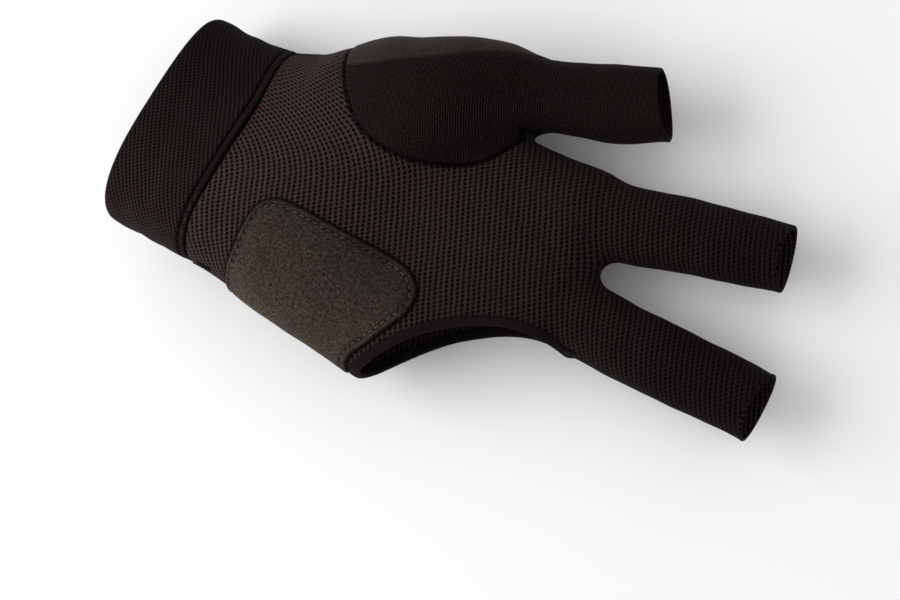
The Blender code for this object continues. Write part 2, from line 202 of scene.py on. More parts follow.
# ---- the form of the glove ----------------------------------------------------------
@dataclass(frozen=True)
class Limb:
    """Rounded-rectangle sections carried along a straight centre line.

    A station is (distance along, reach to the right, reach to the left, lowest, highest).
    Sides and heights obey |w/a|^n + |h/b|^n = 1, with a and b the half width and height.
    """

    base: tuple[float, float]
    heading: float
    stations: tuple[tuple[float, ...], ...]
    root_cap: tuple[float, float] | None = None
    end_cap: tuple[float, float] | None = None
    roundness: float = 2.35
    lean: tuple[tuple[float, float], ...] = ((0.0, 0.0), (1.0, 0.0))

    @property
    def along(self) -> Array:
        """Unit vector in plan along the centre line."""
        return np.array([math.cos(math.radians(self.heading)), math.sin(math.radians(self.heading))])

    @property
    def left(self) -> Array:
        """Unit vector in plan to the left of the centre line."""
        return np.array([-self.along[1], self.along[0]])

    def local(self, points: Array) -> tuple[Array, Array]:
        """Distance along and to the left of the centre line, for each point."""
        plan = points[:, :2] - np.array(self.base)
        return plan @ self.along, plan @ self.left

    def place(self, along: Array, side: Array, height: Array) -> Array:
        """Points given along, to the left of, and above the centre line."""
        plan = np.array(self.base) + np.outer(along, self.along) + np.outer(side, self.left)
        return np.column_stack([plan, height])

    def section(self, along: Array) -> tuple[Array, Array, Array, Array]:
        """Middle and half size of the section, sideways and upwards.

        Args:
            along: Distances along the centre line.

        Returns:
            Side middle, half width, height middle and half height, for each distance.
        """
        table = np.array(self.stations)
        right, left, low, high = smooth_curve(table[:, 0], table[:, 1:], along).T
        return (left - right) / 2, (left + right) / 2, (high + low) / 2, (high - low) / 2

    def leaning(self, along: Array) -> Array:
        """How much higher the top is at the left edge than in the middle."""
        table = np.array(self.lean)
        return np.interp(along, table[:, 0], table[:, 1])

    def levelled(self, points: Array) -> Array:
        """Heights with the lean of the top taken out, for each point."""
        s, w = self.local(points)
        middle, half, centre, tall = self.section(s)
        share = np.clip((points[:, 2] - centre + tall) / (2 * tall), 0, 1.2)
        across = np.clip((w - middle) / half, -1.2, 1.2)
        return points[:, 2] - self.leaning(s) * across * share

    def distance(self, points: Array) -> Array:
        """First-order distance to the limb's skin, negative inside.

        The norm of the scaled offsets is 1 on the skin, and dividing what it differs from 1
        by its slope gives a distance. A cap adds a third offset past its start.
        """
        s, w = self.local(points)
        middle, half, centre, tall = self.section(s)
        n = self.roundness
        offsets = [np.abs(w - middle) / half, np.abs(self.levelled(points) - centre) / tall]
        sizes = [half, tall]
        if self.root_cap:
            start, length = self.root_cap
            offsets.append(np.maximum(start - s, 0) / length)
            sizes.append(np.full_like(s, length))
        if self.end_cap:
            start, length = self.end_cap
            offsets.append(np.maximum(s - start, 0) / length)
            sizes.append(np.full_like(s, length))
        norm = np.maximum(sum(q**n for q in offsets), 1e-9) ** (1 / n)
        slope = np.sqrt(sum((q ** (n - 1) / size) ** 2 for q, size in zip(offsets, sizes)))
        return (norm - 1) * norm ** (n - 1) / np.maximum(slope, 1e-6)

    def spread(self, points: Array, side: Side) -> Array:
        """How much further round the skin a point is than it looks in plan.

        On a quarter circle of radius r the arc outgrows the plan by about half of r times
        the square of the share of the height that it has come down.
        """
        s, w = self.local(points)
        middle, half, centre, tall = self.section(s)
        down = np.clip(1 - (self.levelled(points) - centre) / tall * side.value, 0, 1.3)
        across = np.clip(1.4 * (w - middle) / half, -1, 1)
        return 0.55 * tall * down**2 * across


@dataclass(frozen=True)
class Relief:
    """A soft mound, or a hollow where its height is negative, on one side of the hand."""

    place: tuple[float, float]
    reach: tuple[float, float]
    height: float
    side: Side = Side.PALM

    def lift(self, points: Array, level: Array) -> Array:
        """Bell over an ellipse in plan, faded out across the edge of the hand."""
        x = (points[:, 0] - self.place[0]) / self.reach[0]
        y = (points[:, 1] - self.place[1]) / self.reach[1]
        ramped = smooth_step((points[:, 2] - level) * self.side.value, 0, 8)
        return self.height * np.exp(-(x * x) - y * y) * ramped


@dataclass(frozen=True)
class GloveForm:
    """The worn shape of the whole glove, its seams, and its pattern coordinates."""

    palm: Limb = Limb((0, 0), 0, (
        (-90, 33.4, 28.9, -0.6, 33.5),
        (-78, 33.8, 29.1, -0.6, 33.5),
        (-66, 34.4, 29.1, -0.6, 33.3),
        (-53.85, 34.8, 30.2, -0.6, 33.2),
        (-45, 34.9, 33.2, -0.6, 33.4),
        (-38, 35.7, 34.9, -0.6, 33.7),
        (-28, 37.8, 35.1, -0.6, 34),
        (-14, 39.4, 35.2, -0.6, 33),
        (0, 41.2, 35.5, -0.6, 31),
        (12, 42, 36, -0.4, 29.5),
        (24, 41, 36.4, 0.2, 28),
        (36, 39, 36.6, 1.2, 26),
        (46, 36, 36, 2.2, 24),
        (52, 33, 34, 3.0, 22),
    ), end_cap=(44.0, 9.3), lean=((-60, -8.0), (-45, -7.0), (-25, -3.0), (0, 0.0)))
    thumb: Limb = Limb((16.2, 47.7), 21, (
        (-62, 20, 4.5, 2, 31),
        (-50, 25, 9.6, 1.4, 35),
        (-40, 26, 11.9, 1.5, 38),
        (-32, 26.5, 12.1, 1.6, 39),
        (-18, 22, 13.2, 2.8, 37.5),
        (-6, 14, 12.2, 4.6, 31.5),
        (3, 10, 9.6, 6, 27),
        (13, 10.3, 8.9, 7, 25.4),
        (22, 11.2, 8.9, 7.5, 25),
        (36, 10.0, 8.9, 8, 24.4),
    ), root_cap=(-52.0, 14.0))
    index: Limb = Limb((57, 27.9), 13, (
        (-38, 8, 8, 5, 21),
        (-14, 10.2, 11.0, 3.4, 23),
        (0, 10.3, 10.3, 3.6, 22.4),
        (14, 9.6, 10.4, 4.2, 21.6),
        (28, 9.3, 9.9, 5, 21.2),
        (41, 8.8, 8.8, 6, 21),
    ), root_cap=(-30.0, 10.0), roundness=2.15)
    middle: Limb = Limb((57, -0.3), 0, (
        (-36, 8, 8, 4.5, 21),
        (0, 10.5, 10.0, 3.4, 22.4),
        (14, 10.8, 9.4, 4, 21.6),
        (26, 10.6, 9.4, 4.5, 21.2),
        (38, 9.9, 9.3, 5, 21),
        (51, 9.9, 9.0, 5.5, 21),
    ), root_cap=(-30.0, 10.0), roundness=2.15)

    reliefs: tuple[Relief, ...] = (
        Relief((2, 2), (27, 15), -2.6),
        Relief((-14, -24), (28, 13), 1.3),
        Relief((37, 27), (9, 9), 1.0),
        Relief((40, 2), (9, 9), 1.1),
        Relief((-44, 2), (9, 16), -0.8),
        Relief((10, 5), (30, 20), 0.8, Side.BACK),
    )
    thumb_outline: Outline = (
        (-44, 62), (-38.5, 48), (-34.6, 38.8), (-31.6, 33.4), (-28.4, 28.6), (-24.4, 23.8),
        (-19.5, 19.6), (-14.9, 17.2), (-8.5, 16.0), (-1.5, 16.6), (6.0, 19.2), (11.6, 22.4),
        (15.2, 25.8), (17.6, 30), (19.3, 34.5), (22.5, 38.9), (60, 47), (75, 62), (60, 85),
        (0, 85),
    )
    strip_outline: Outline = (
        (-50, 60), (-42, 46), (-37, 37.5), (-33, 33.0), (-28.2, 31.9), (-22, 34.8),
        (-16.4, 37.8), (-9.2, 42.0), (-2.6, 46.3), (2.3, 49.9), (6.8, 52.6), (12, 55.2),
        (17.5, 58.6), (24, 66), (20, 74), (-20, 78),
    )
    pad_outline: Outline = (
        (-35.8, -52), (-35.6, -42), (-35.3, -34), (-34.9, -26), (-34.9, -18.0),
        (-33.9, -12.6), (-30.4, -9.3), (-25.5, -8.2), (-14, -8.4), (-2.7, -8.6), (6.0, -8.9),
        (12.0, -10.6), (15.6, -14.4), (15.6, -20.0), (12.4, -26.3), (8.4, -32.8), (4.6, -39.0),
        (2.5, -52),
    )
    bare_outline: Outline = (
        (4.0, -60), (5.0, -48), (6.7, -42.4), (8.9, -38.7), (12.3, -33.4), (16.9, -27.5),
        (22.3, -22.0), (27.8, -17.9), (34.1, -14.0), (41.2, -11.2), (47.8, -10.2), (53.2, -10.6),
        (56.8, -11.9), (59.4, -15.5), (61, -30), (61, -60),
    )

    wrist_groove: float = 1.05
    thumb_end: float = 35.4
    index_end: float = 40.9
    middle_end: float = 50.6
    flatness: float = 2.0

    def __post_init__(self) -> None:
        """Works out the dense outlines once."""
        for name in ("thumb", "strip", "pad", "bare"):
            dense = rounded_outline(getattr(self, name + "_outline"))
            object.__setattr__(self, "_" + name, dense)

    def limbs(self) -> tuple[Limb, Limb, Limb, Limb]:
        """Palm, thumb, index and middle."""
        return self.palm, self.thumb, self.index, self.middle

    def side_level(self, points: Array) -> Array:
        """Height of the side seam, which falls gently towards the fingertips."""
        return 15.5 - 0.05 * points[:, 0]

    def body(self, points: Array) -> Array:
        """Smooth union of the limbs with the reliefs, flattened where it rests.

        The thumb joins with a tight radius at its fold and a wide one at its root, and the
        two fingers join with the radius of the web between them.
        """
        palm, thumb, index, middle = (limb.distance(points) for limb in self.limbs())
        skin = smooth_min(palm, middle, 5.0)
        skin = smooth_min(skin, index, 5.0)
        reach = 3.0 + 5.0 * smooth_step(-points[:, 0], -18, 10)
        share = np.clip(0.5 + 0.5 * (skin - thumb) / reach, 0, 1)
        skin = skin + (thumb - skin) * share - reach * share * (1 - share)
        level = self.side_level(points)
        for relief in self.reliefs:
            skin = skin - relief.lift(points, level)
        return -smooth_min(-skin, points[:, 2] + 0.25, self.flatness)

    def side_seam(self, points: Array) -> Array:
        """Height above the side seam."""
        return points[:, 2] - self.side_level(points)

    def thumb_seam(self, points: Array) -> Array:
        """Distance inside the thumb panel's seam."""
        return plan_distance(self._thumb, points)

    def strip_seam(self, points: Array) -> Array:
        """Distance inside the suede strip's edge."""
        return plan_distance(self._strip, points)

    def pad_edge(self, points: Array) -> Array:
        """Distance inside the heel pad's edge."""
        return plan_distance(self._pad, points)

    def opening(self, points: Array) -> Array:
        """Distance from the cut-away side, positive on the glove."""
        return -plan_distance(self._bare, points)

    def wrist_seam(self, side: Array) -> Array:
        """Where the middle of the cuff seam is along the hand. It slants at both sides."""
        return -51.1 - 2.7 * smooth_step(side, 10, 30) + 0.7 * smooth_step(-side, 22, 36)

    def wrist(self, points: Array) -> Array:
        """Distance past the middle of the cuff seam, towards the fingers."""
        return points[:, 0] - self.wrist_seam(points[:, 1])

    def index_along(self, points: Array) -> Array:
        """Distance along the index finger."""
        return self.index.local(points)[0]

    def middle_along(self, points: Array) -> Array:
        """Distance along the middle finger."""
        return self.middle.local(points)[0]

    def thumb_along(self, points: Array) -> Array:
        """Distance along the thumb."""
        return self.thumb.local(points)[0]

    def setback(self, limb: Limb, points: Array) -> Array:
        """How far an open end is pulled back on the palm side of a finger."""
        s, _ = limb.local(points)
        _, _, centre, tall = limb.section(s)
        return 1.5 * np.clip((points[:, 2] - centre) / tall, 0, 1) ** 2

    def index_mouth(self, points: Array) -> Array:
        """Distance short of the index stall's open end."""
        return self.index_end - self.index_along(points) - self.setback(self.index, points)

    def middle_mouth(self, points: Array) -> Array:
        """Distance short of the middle stall's open end."""
        return self.middle_end - self.middle_along(points) - self.setback(self.middle, points)

    def thumb_mouth(self, points: Array) -> Array:
        """Distance short of the thumb's open end, which is cut on a slant."""
        s, w = self.thumb.local(points)
        return self.thumb_end - 0.19 * w - s - 0.6 * self.setback(self.thumb, points)

    def nearest(self, points: Array) -> Array:
        """Number of the nearest limb: palm, thumb, index or middle."""
        return np.argmin([limb.distance(points) for limb in self.limbs()], axis=0)

    def nearer_index(self, points: Array) -> Array:
        """True where the index finger is nearer than the middle finger."""
        return self.index.distance(points) < self.middle.distance(points)

    def sewn(self, points: Array) -> Array:
        """The body with its turned seams drawn in as grooves, and soft folds.

        Each seam takes a bell off the surface, as deep as the thread pulls it in.
        """
        skin = self.body(points)
        side = self.side_seam(points)
        up = smooth_step(side, -1.5, 1.5)
        jersey = self.thumb_seam(points)
        groove = 0.95 * ridge(jersey, 0.5) * up
        groove += 0.5 * ridge(self.strip_seam(points), 0.4) * up * smooth_step(jersey, 0.5, 2)
        groove += 0.5 * ridge(side, 0.6)
        groove += 0.95 * ridge(self.wrist(points) - self.wrist_groove, 0.5)
        roll = 0.35 * smooth_step(jersey, 0.3, 1.6) * up
        return skin + groove - roll + self.folds(points)

    def shade(self, points: Array) -> Array:
        """How much shade is painted into the seams' grooves and just outside the heel pad's edge, 1 in
        the middle of a groove.
        """
        side = self.side_seam(points)
        up = smooth_step(side, -1.5, 1.5)
        jersey = self.thumb_seam(points)
        # Painted shade along the thumb, strip, side and wrist seams, and just outside the heel pad's
        # edge.
        marks = [
            ridge(jersey, 0.42) * up,
            0.6 * ridge(self.strip_seam(points), 0.35) * up * smooth_step(jersey, 0.5, 2),
            0.5 * ridge(side, 0.4),
            ridge(self.wrist(points) - self.wrist_groove, 0.4),
            ridge(self.pad_edge(points) + 0.15, 0.42) * up,
        ]
        return np.clip(np.max(marks, axis=0), 0, 1)

    def folds(self, points: Array) -> Array:
        """Shallow drape of a stretched knit, as a few crossed waves."""
        x, y, z = points.T
        wave = np.sin(0.19 * x + 0.11 * y + 0.9) * np.sin(0.23 * y - 0.07 * x + 0.12 * z + 2.1)
        fine = np.sin(0.47 * x - 0.29 * y + 0.3) * np.sin(0.41 * y + 0.17 * x + 1.7)
        crease_i = ridge(self.index_along(points) - 3.0 - 0.05 * (y - 28) ** 2 / 10, 1.6)
        crease_m = ridge(self.middle_along(points) - 3.5, 1.6)
        above = smooth_step(self.side_seam(points), 0, 5)
        joint = 0.22 * above * (crease_i + crease_m) * smooth_step(x, 50, 56)
        return 0.16 * wave + 0.07 * fine + joint

    def pattern(self, points: Array, side: Side, limbs: Sequence[Limb]) -> Array:
        """Where each point lies on the flat cut panel, in metres.

        Each limb unrolls round its own centre line and keeps the grain of the cloth, and
        the limbs are mixed by how near the point is to each.
        """
        total, weight = np.zeros((len(points), 2)), np.zeros(len(points))
        for limb in limbs:
            share = np.exp(-np.clip(limb.distance(points), -3, 20) / 1.5)
            total += np.outer(limb.spread(points, side) * share, limb.left)
            weight += share
        flat = points[:, :2] + total / weight[:, None]
        flat[:, 0] += 0.12 * np.logaddexp(0, (flat[:, 0] - 52) / 4) * 4
        return flat * MM


# ---- surfaces -----------------------------------------------------------------------
@dataclass
class Surface:
    """Triangles in millimetres, as arrays of points and of corner numbers."""

    points: Array
    faces: Array

    def edges(self) -> Array:
        """Directed edges of every face."""
        f = self.faces
        return np.concatenate([f[:, [0, 1]], f[:, [1, 2]], f[:, [2, 0]]])

    def tidy(self) -> "Surface":
        """The same surface without the points that no face uses."""
        used, inverse = np.unique(self.faces, return_inverse=True)
        return Surface(self.points[used], inverse.reshape(-1, 3))

    def cut(self, values: Array, both: bool = False) -> "Surface":
        """Cuts every triangle along the zero line of a value given at the points.

        A crossed edge gets one new point, at the share of its length where the value is
        zero. One corner left over makes one triangle, and two make two.

        Args:
            values: One number for each point.
            both: Keep both sides, so that the line only adds points, instead of the
                positive side alone.

        Returns:
            The new surface.
        """
        values = np.where(np.abs(values) < 1e-3, 1e-3, values)
        inside = values > 0
        count = inside[self.faces].sum(axis=1)
        one = self.turned(self.faces[count == 1], inside, True)
        two = self.turned(self.faces[count == 2], inside, False)
        crossed = np.concatenate([
            one[:, [0, 1]], one[:, [0, 2]], two[:, [0, 1]], two[:, [0, 2]],
        ])
        pairs, number = np.unique(np.sort(crossed, axis=1), axis=0, return_inverse=True)
        a, b = pairs.T
        share = (values[a] / (values[a] - values[b]))[:, None]
        new = self.points[a] + (self.points[b] - self.points[a]) * share
        number = number.reshape(-1) + len(self.points)
        p, q, r, s = np.split(number, np.cumsum([len(one), len(one), len(two)]))
        parts = [
            self.faces[count == 3],
            np.column_stack([one[:, 0], p, q]),
            np.column_stack([r, two[:, 1], two[:, 2]]),
            np.column_stack([r, two[:, 2], s]),
        ]
        if both:
            parts += [
                self.faces[count == 0],
                np.column_stack([p, one[:, 1], one[:, 2]]),
                np.column_stack([p, one[:, 2], q]),
                np.column_stack([two[:, 0], r, s]),
            ]
        return Surface(np.concatenate([self.points, new]), np.concatenate(parts)).tidy()

    @staticmethod
    def turned(faces: Array, inside: Array, wanted: bool) -> Array:
        """Faces with their corners turned so that the odd one out comes first."""
        first = np.argmax(inside[faces] == wanted, axis=1)
        order = (first[:, None] + np.arange(3)) % 3
        return np.take_along_axis(faces, order, axis=1)

    def crossing(self, values: Array) -> Array:
        """Points where the surface's edges cross the zero line of a value."""
        edges = np.unique(np.sort(self.edges(), axis=1), axis=0)
        a, b = edges[(values[edges[:, 0]] > 0) != (values[edges[:, 1]] > 0)].T
        share = (values[a] / (values[a] - values[b]))[:, None]
        return self.points[a] + (self.points[b] - self.points[a]) * share

    def relaxed(self, of: Field, rounds: int) -> "Surface":
        """Evens out the triangles: every point moves half way to the mean of its
        neighbours, and back onto the field's surface."""
        edges = self.edges()
        count = np.bincount(edges[:, 0], minlength=len(self.points))[:, None]
        points = self.points
        for _ in range(rounds):
            ends = points[edges[:, 1]]
            total = np.stack(
                [np.bincount(edges[:, 0], ends[:, i], len(points)) for i in range(3)], axis=1
            )
            moved = (points + total / np.maximum(count, 1)) / 2
            points = project(np.where(count > 3, moved, points), of, 1)
        return Surface(project(points, of, 2), self.faces)


def surface_net(of: Field, low: Array, high: Array, pitch: float) -> Surface:
    """Zero surface of a field as an even net of triangles.

    Each grid cell that the surface passes through gets one point, the mean of where it
    crosses the cell's edges. Each crossed grid edge joins the four cells round it.

    Args:
        of: The field, negative inside.
        low: Lowest corner of the grid.
        high: Highest corner of the grid.
        pitch: Spacing of the grid.

    Returns:
        The surface, with its faces pointing out.
    """
    axes = [np.arange(a, b + pitch, pitch) for a, b in zip(low, high)]
    shape = tuple(len(a) for a in axes)
    grid = np.stack(np.meshgrid(*axes, indexing="ij"), axis=-1).reshape(-1, 3)
    value = np.concatenate([of(part) for part in np.array_split(grid, 8)]).reshape(shape)
    inside = value < 0
    cells = tuple(n - 1 for n in shape)
    corners = [
        inside[i : i + cells[0], j : j + cells[1], k : k + cells[2]].astype(np.int8)
        for i in (0, 1) for j in (0, 1) for k in (0, 1)
    ]
    active = np.isin(sum(corners), np.arange(1, 8))
    cell = np.stack(np.nonzero(active), axis=1)
    number = np.full(cells, -1)
    number[active] = np.arange(len(cell))
    total, count = np.zeros((len(cell), 3)), np.zeros(len(cell))
    quads = []
    for axis in range(3):
        ahead = np.eye(3, dtype=int)[axis]
        b, c = np.eye(3, dtype=int)[(axis + 1) % 3], np.eye(3, dtype=int)[(axis + 2) % 3]
        for start in (0 * b, b, c, b + c):
            v0, v1 = (value[tuple((cell + o).T)] for o in (start, start + ahead))
            crossed = (v0 < 0) != (v1 < 0)
            share = np.where(crossed, v0 / np.where(crossed, v0 - v1, 1), 0)
            total += (start + share[:, None] * ahead) * crossed[:, None]
            count += crossed
        first = np.take(inside, range(shape[axis] - 1), axis)
        last = np.take(inside, range(1, shape[axis]), axis)
        edge = np.stack(np.nonzero(first != last), axis=1)
        b_axis, c_axis = (axis + 1) % 3, (axis + 2) % 3
        whole = (edge[:, b_axis] > 0) & (edge[:, c_axis] > 0)
        whole &= (edge[:, b_axis] < cells[b_axis]) & (edge[:, c_axis] < cells[c_axis])
        edge = edge[whole]
        ring = [number[tuple((edge + o).T)] for o in (-b - c, -c, 0 * b, -b)]
        out = inside[tuple(edge.T)]
        quad = np.stack(ring, axis=1)
        quads.append(np.where(out[:, None], quad, quad[:, ::-1]))
    quads = np.concatenate(quads)
    points = np.array(low) + (cell + total / count[:, None]) * pitch
    faces = np.concatenate([quads[:, [0, 1, 2]], quads[:, [0, 2, 3]]])
    return Surface(points, faces).tidy()


def ring_order(points: Array, across: Array, up: Array) -> Array:
    """Points sorted by their angle round their middle, in the plane of two directions."""
    offset = points - points.mean(axis=0)
    return points[np.argsort(np.arctan2(offset @ up, offset @ across))]


def even_loop(points: Array, count: int, softness: int) -> Array:
    """A closed loop read again at even steps, and smoothed by dropping its fine waves.

    Args:
        points: The loop's points in order.
        count: How many even points to give back.
        softness: How many waves round the loop are kept.

    Returns:
        The new loop.
    """
    closed = np.concatenate([points, points[:1]])
    length = np.concatenate([[0], np.cumsum(np.linalg.norm(np.diff(closed, axis=0), axis=1))])
    at = np.linspace(0, length[-1], count, endpoint=False)
    even = np.stack([np.interp(at, length, closed[:, i]) for i in range(3)], axis=1)
    waves = np.fft.rfft(even, axis=0)
    waves[softness:] = 0
    return np.fft.irfft(waves, count, axis=0)


def even_line(points: Array, step: float) -> Array:
    """An open line read again at even steps."""
    length = np.concatenate([[0], np.cumsum(np.linalg.norm(np.diff(points, axis=0), axis=1))])
    at = np.linspace(0, length[-1], max(2, round(length[-1] / step) + 1))
    return np.stack([np.interp(at, length, column) for column in points.T], axis=1)


def tangents(path: Array, closed: bool) -> Array:
    """Direction of a path at each of its points."""
    if closed:
        return unit(np.roll(path, -1, axis=0) - np.roll(path, 1, axis=0))
    return unit(np.gradient(path, axis=0))


def grid_faces(rows: int, columns: int, rows_closed: bool) -> Array:
    """Four-cornered faces of a grid whose columns close on themselves."""
    i = np.arange(rows if rows_closed else rows - 1)[:, None]
    j = np.arange(columns)[None, :]
    after, beside = (i + 1) % rows, (j + 1) % columns
    corners = [i * columns + j, i * columns + beside, after * columns + beside, after * columns + j]
    return np.stack([np.broadcast_to(c, (len(i), columns)) for c in corners], axis=-1).reshape(-1, 4)


# ---- from arrays to objects ---------------------------------------------------------
def build_object(
    name: str, points: Array, faces: Array, material: bpy.types.Material,
    pattern: Array | None = None, corner_normals: Array | None = None,
    shade: Array | None = None,
) -> bpy.types.Object:
    """Puts arrays into a new smooth mesh.

    Args:
        name: Name of the piece.
        points: Points in millimetres.
        faces: Corner numbers, three or four to a face.
        material: Finish of the piece.
        pattern: Place on the flat cloth for each point, or each corner, in metres.
        corner_normals: One normal for each corner of each face.
        shade: Painted shade of a seam's groove at each point, from 0 to 1.

    Returns:
        The object, at the origin.
    """
    data = bpy.data.meshes.new(name)
    count, width = faces.shape
    data.vertices.add(len(points))
    data.vertices.foreach_set("co", (points * MM).astype(np.float32).ravel())
    data.loops.add(count * width)
    data.loops.foreach_set("vertex_index", faces.astype(np.int32).ravel())
    data.polygons.add(count)
    data.polygons.foreach_set("loop_start", np.arange(0, count * width, width, dtype=np.int32))
    data.polygons.foreach_set("use_smooth", np.ones(count, bool))
    if pattern is not None:
        layer = data.uv_layers.new(name=PATTERN_MAP)
        corners = pattern[faces.ravel()] if len(pattern) == len(points) else pattern
        layer.data.foreach_set("uv", corners.astype(np.float32).ravel())
    data.update(calc_edges=True)
    data.validate()
    if corner_normals is not None:
        data.normals_split_custom_set(corner_normals.reshape(-1, 3).tolist())
    if shade is not None:
        layer = data.attributes.new(SEAM_SHADE, "FLOAT", "POINT")
        layer.data.foreach_set("value", shade.astype(np.float32))
    data.materials.append(material)
    made = bpy.data.objects.new(name, data)
    bpy.context.scene.collection.objects.link(made)
    return made


def thick_object(
    name: str, surface: Surface, normals: Array, thickness: float | Array,
    material: bpy.types.Material, pattern: Array, shade: Array,
) -> bpy.types.Object:
    """A panel with a real thickness: its outer face, its inner face and a rim.

    The inner face is the outer one moved in along the normals, and the rim joins every
    edge that only one face uses to its copy.
    """
    count = len(surface.points)
    inner = surface.points - normals * np.reshape(thickness, (-1, 1))
    edges = surface.edges()
    codes = edges[:, 0] * count + edges[:, 1]
    free = edges[~np.isin(codes, edges[:, 1] * count + edges[:, 0])]
    a, b = free.T
    rim = np.concatenate([
        np.column_stack([b, a, a + count]), np.column_stack([b, a + count, b + count]),
    ])
    faces = np.concatenate([surface.faces, surface.faces[:, ::-1] + count, rim])
    points = np.concatenate([surface.points, inner])
    corner = points[rim]
    flat = unit(np.cross(corner[:, 1] - corner[:, 0], corner[:, 2] - corner[:, 0]))
    corner_normals = np.concatenate([
        normals[surface.faces], -normals[surface.faces[:, ::-1]],
        np.repeat(flat[:, None], 3, axis=1),
    ])
    return build_object(
        name, points, faces, material, np.concatenate([pattern, pattern]), corner_normals,
        np.concatenate([shade, shade]),
    )


def swept_object(
    name: str, path: Array, normals: Array, profile: Array, closed: bool,
    material: bpy.types.Material,
) -> bpy.types.Object:
    """A profile carried along a path.

    Each ring is path + side * x + normal * y, where side is the path's direction crossed
    with its normal. Open ends are closed by drawing the last rings in to their middle.

    Args:
        name: Name of the piece.
        path: Points of the path.
        normals: Outward direction at each of them.
        profile: Closed outline as (x, y) rows, anticlockwise seen along the path.
        closed: True if the path is a loop.
        material: Finish of the piece.

    Returns:
        The object.
    """
    along = tangents(path, closed)
    side = unit(np.cross(along, normals))
    normal = unit(np.cross(side, along))
    scale = np.ones(len(path))
    if not closed:
        path = np.concatenate([path[:1], path, path[-1:]])
        side, normal = (np.concatenate([v[:1], v, v[-1:]]) for v in (side, normal))
        scale = np.concatenate([[0.02], scale, [0.02]])
    spread = side[:, None] * profile[None, :, :1] + normal[:, None] * profile[None, :, 1:]
    points = (path[:, None] + spread * scale[:, None, None]).reshape(-1, 3)
    run = np.concatenate([[0], np.cumsum(np.linalg.norm(np.diff(path, axis=0), axis=1))])
    step = np.linalg.norm(np.diff(profile, axis=0, append=profile[:1]), axis=1)
    round_it = np.concatenate([[0], np.cumsum(step)[:-1]])
    pattern = np.stack(np.meshgrid(run, round_it, indexing="ij"), axis=-1).reshape(-1, 2) * MM
    faces = grid_faces(len(path), len(profile), closed)[:, ::-1]
    return build_object(name, points, faces, material, pattern)


def oval(half_width: float, half_height: float, count: int = 12, power: float = 2.0) -> Array:
    """Outline of a flattened tube, |x/a|^n + |y/b|^n = 1."""
    angle = np.linspace(0, 2 * math.pi, count, endpoint=False)
    shape = np.column_stack([np.cos(angle), np.sin(angle)])
    return np.sign(shape) * np.abs(shape) ** (2 / power) * np.array([half_width, half_height])


@dataclass(frozen=True)
class Stitch:
    """One stitch of a sewn row: a short soft capsule of thread."""

    length: float = 1.5
    radius: float = 0.2
    pitch: float = 2.1
    lean: float = 8.0
    sink: float = 0.05

    def capsule(self) -> tuple[Array, Array]:
        """Points and faces of one stitch along X: rings of six between two ends."""
        place = np.array([-0.5, -0.34, 0.0, 0.34, 0.5])
        bulge = np.array([0.35, 0.85, 1.0, 0.85, 0.35])
        angle = np.linspace(0, 2 * math.pi, 6, endpoint=False)
        rings = np.stack([
            np.broadcast_to(place[:, None] * self.length, (5, 6)),
            bulge[:, None] * np.cos(angle) * self.radius,
            bulge[:, None] * np.sin(angle) * self.radius * 0.8,
        ], axis=-1).reshape(-1, 3)
        quads = grid_faces(5, 6, False)[:, ::-1]
        faces = np.concatenate([quads[:, [0, 1, 2]], quads[:, [0, 2, 3]]])
        near, far = np.arange(6), np.arange(6) + 24
        ends = [np.column_stack([np.full(4, near[0]), near[2:], near[1:-1]])]
        ends.append(np.column_stack([np.full(4, far[0]), far[1:-1], far[2:]]))
        return rings, np.concatenate([faces, *ends])

    def row(
        self, name: str, path: Array, normals: Array, closed: bool,
        material: bpy.types.Material,
    ) -> bpy.types.Object:
        """A stitch at every pitch along a path, each leaning a little to one side."""
        shape, faces = self.capsule()
        ends = np.concatenate([path, path[:1]]) if closed else path
        length = np.concatenate([[0], np.cumsum(np.linalg.norm(np.diff(ends, axis=0), axis=1))])
        count = max(2, round(length[-1] / self.pitch))
        at = (np.arange(count) + 0.5) * length[-1] / count
        around = np.concatenate([normals, normals[:1]]) if closed else normals
        here = np.stack([np.interp(at, length, ends[:, i]) for i in range(3)], axis=1)
        ahead = np.stack([np.interp(at + 0.4, length, ends[:, i]) for i in range(3)], axis=1)
        behind = np.stack([np.interp(at - 0.4, length, ends[:, i]) for i in range(3)], axis=1)
        up = unit(np.stack([np.interp(at, length, around[:, i]) for i in range(3)], axis=1))
        along = unit(ahead - behind)
        side = unit(np.cross(up, along))
        cosine, sine = math.cos(math.radians(self.lean)), math.sin(math.radians(self.lean))
        length_way = along * cosine + side * sine
        width_way = side * cosine - along * sine
        axes = np.stack([length_way, width_way, unit(np.cross(length_way, width_way))], axis=1)
        points = (here - up * self.sink)[:, None] + np.einsum("pk,nkj->npj", shape, axes)
        offsets = (np.arange(count) * len(shape))[:, None, None]
        pattern = np.tile(shape[:, :2], (count, 1)) * MM
        return build_object(
            name, points.reshape(-1, 3), (faces[None] + offsets).reshape(-1, 3), material, pattern
        )


# ---- finishes -----------------------------------------------------------------------
Socket = bpy.types.NodeSocket
Value = float | tuple | Socket


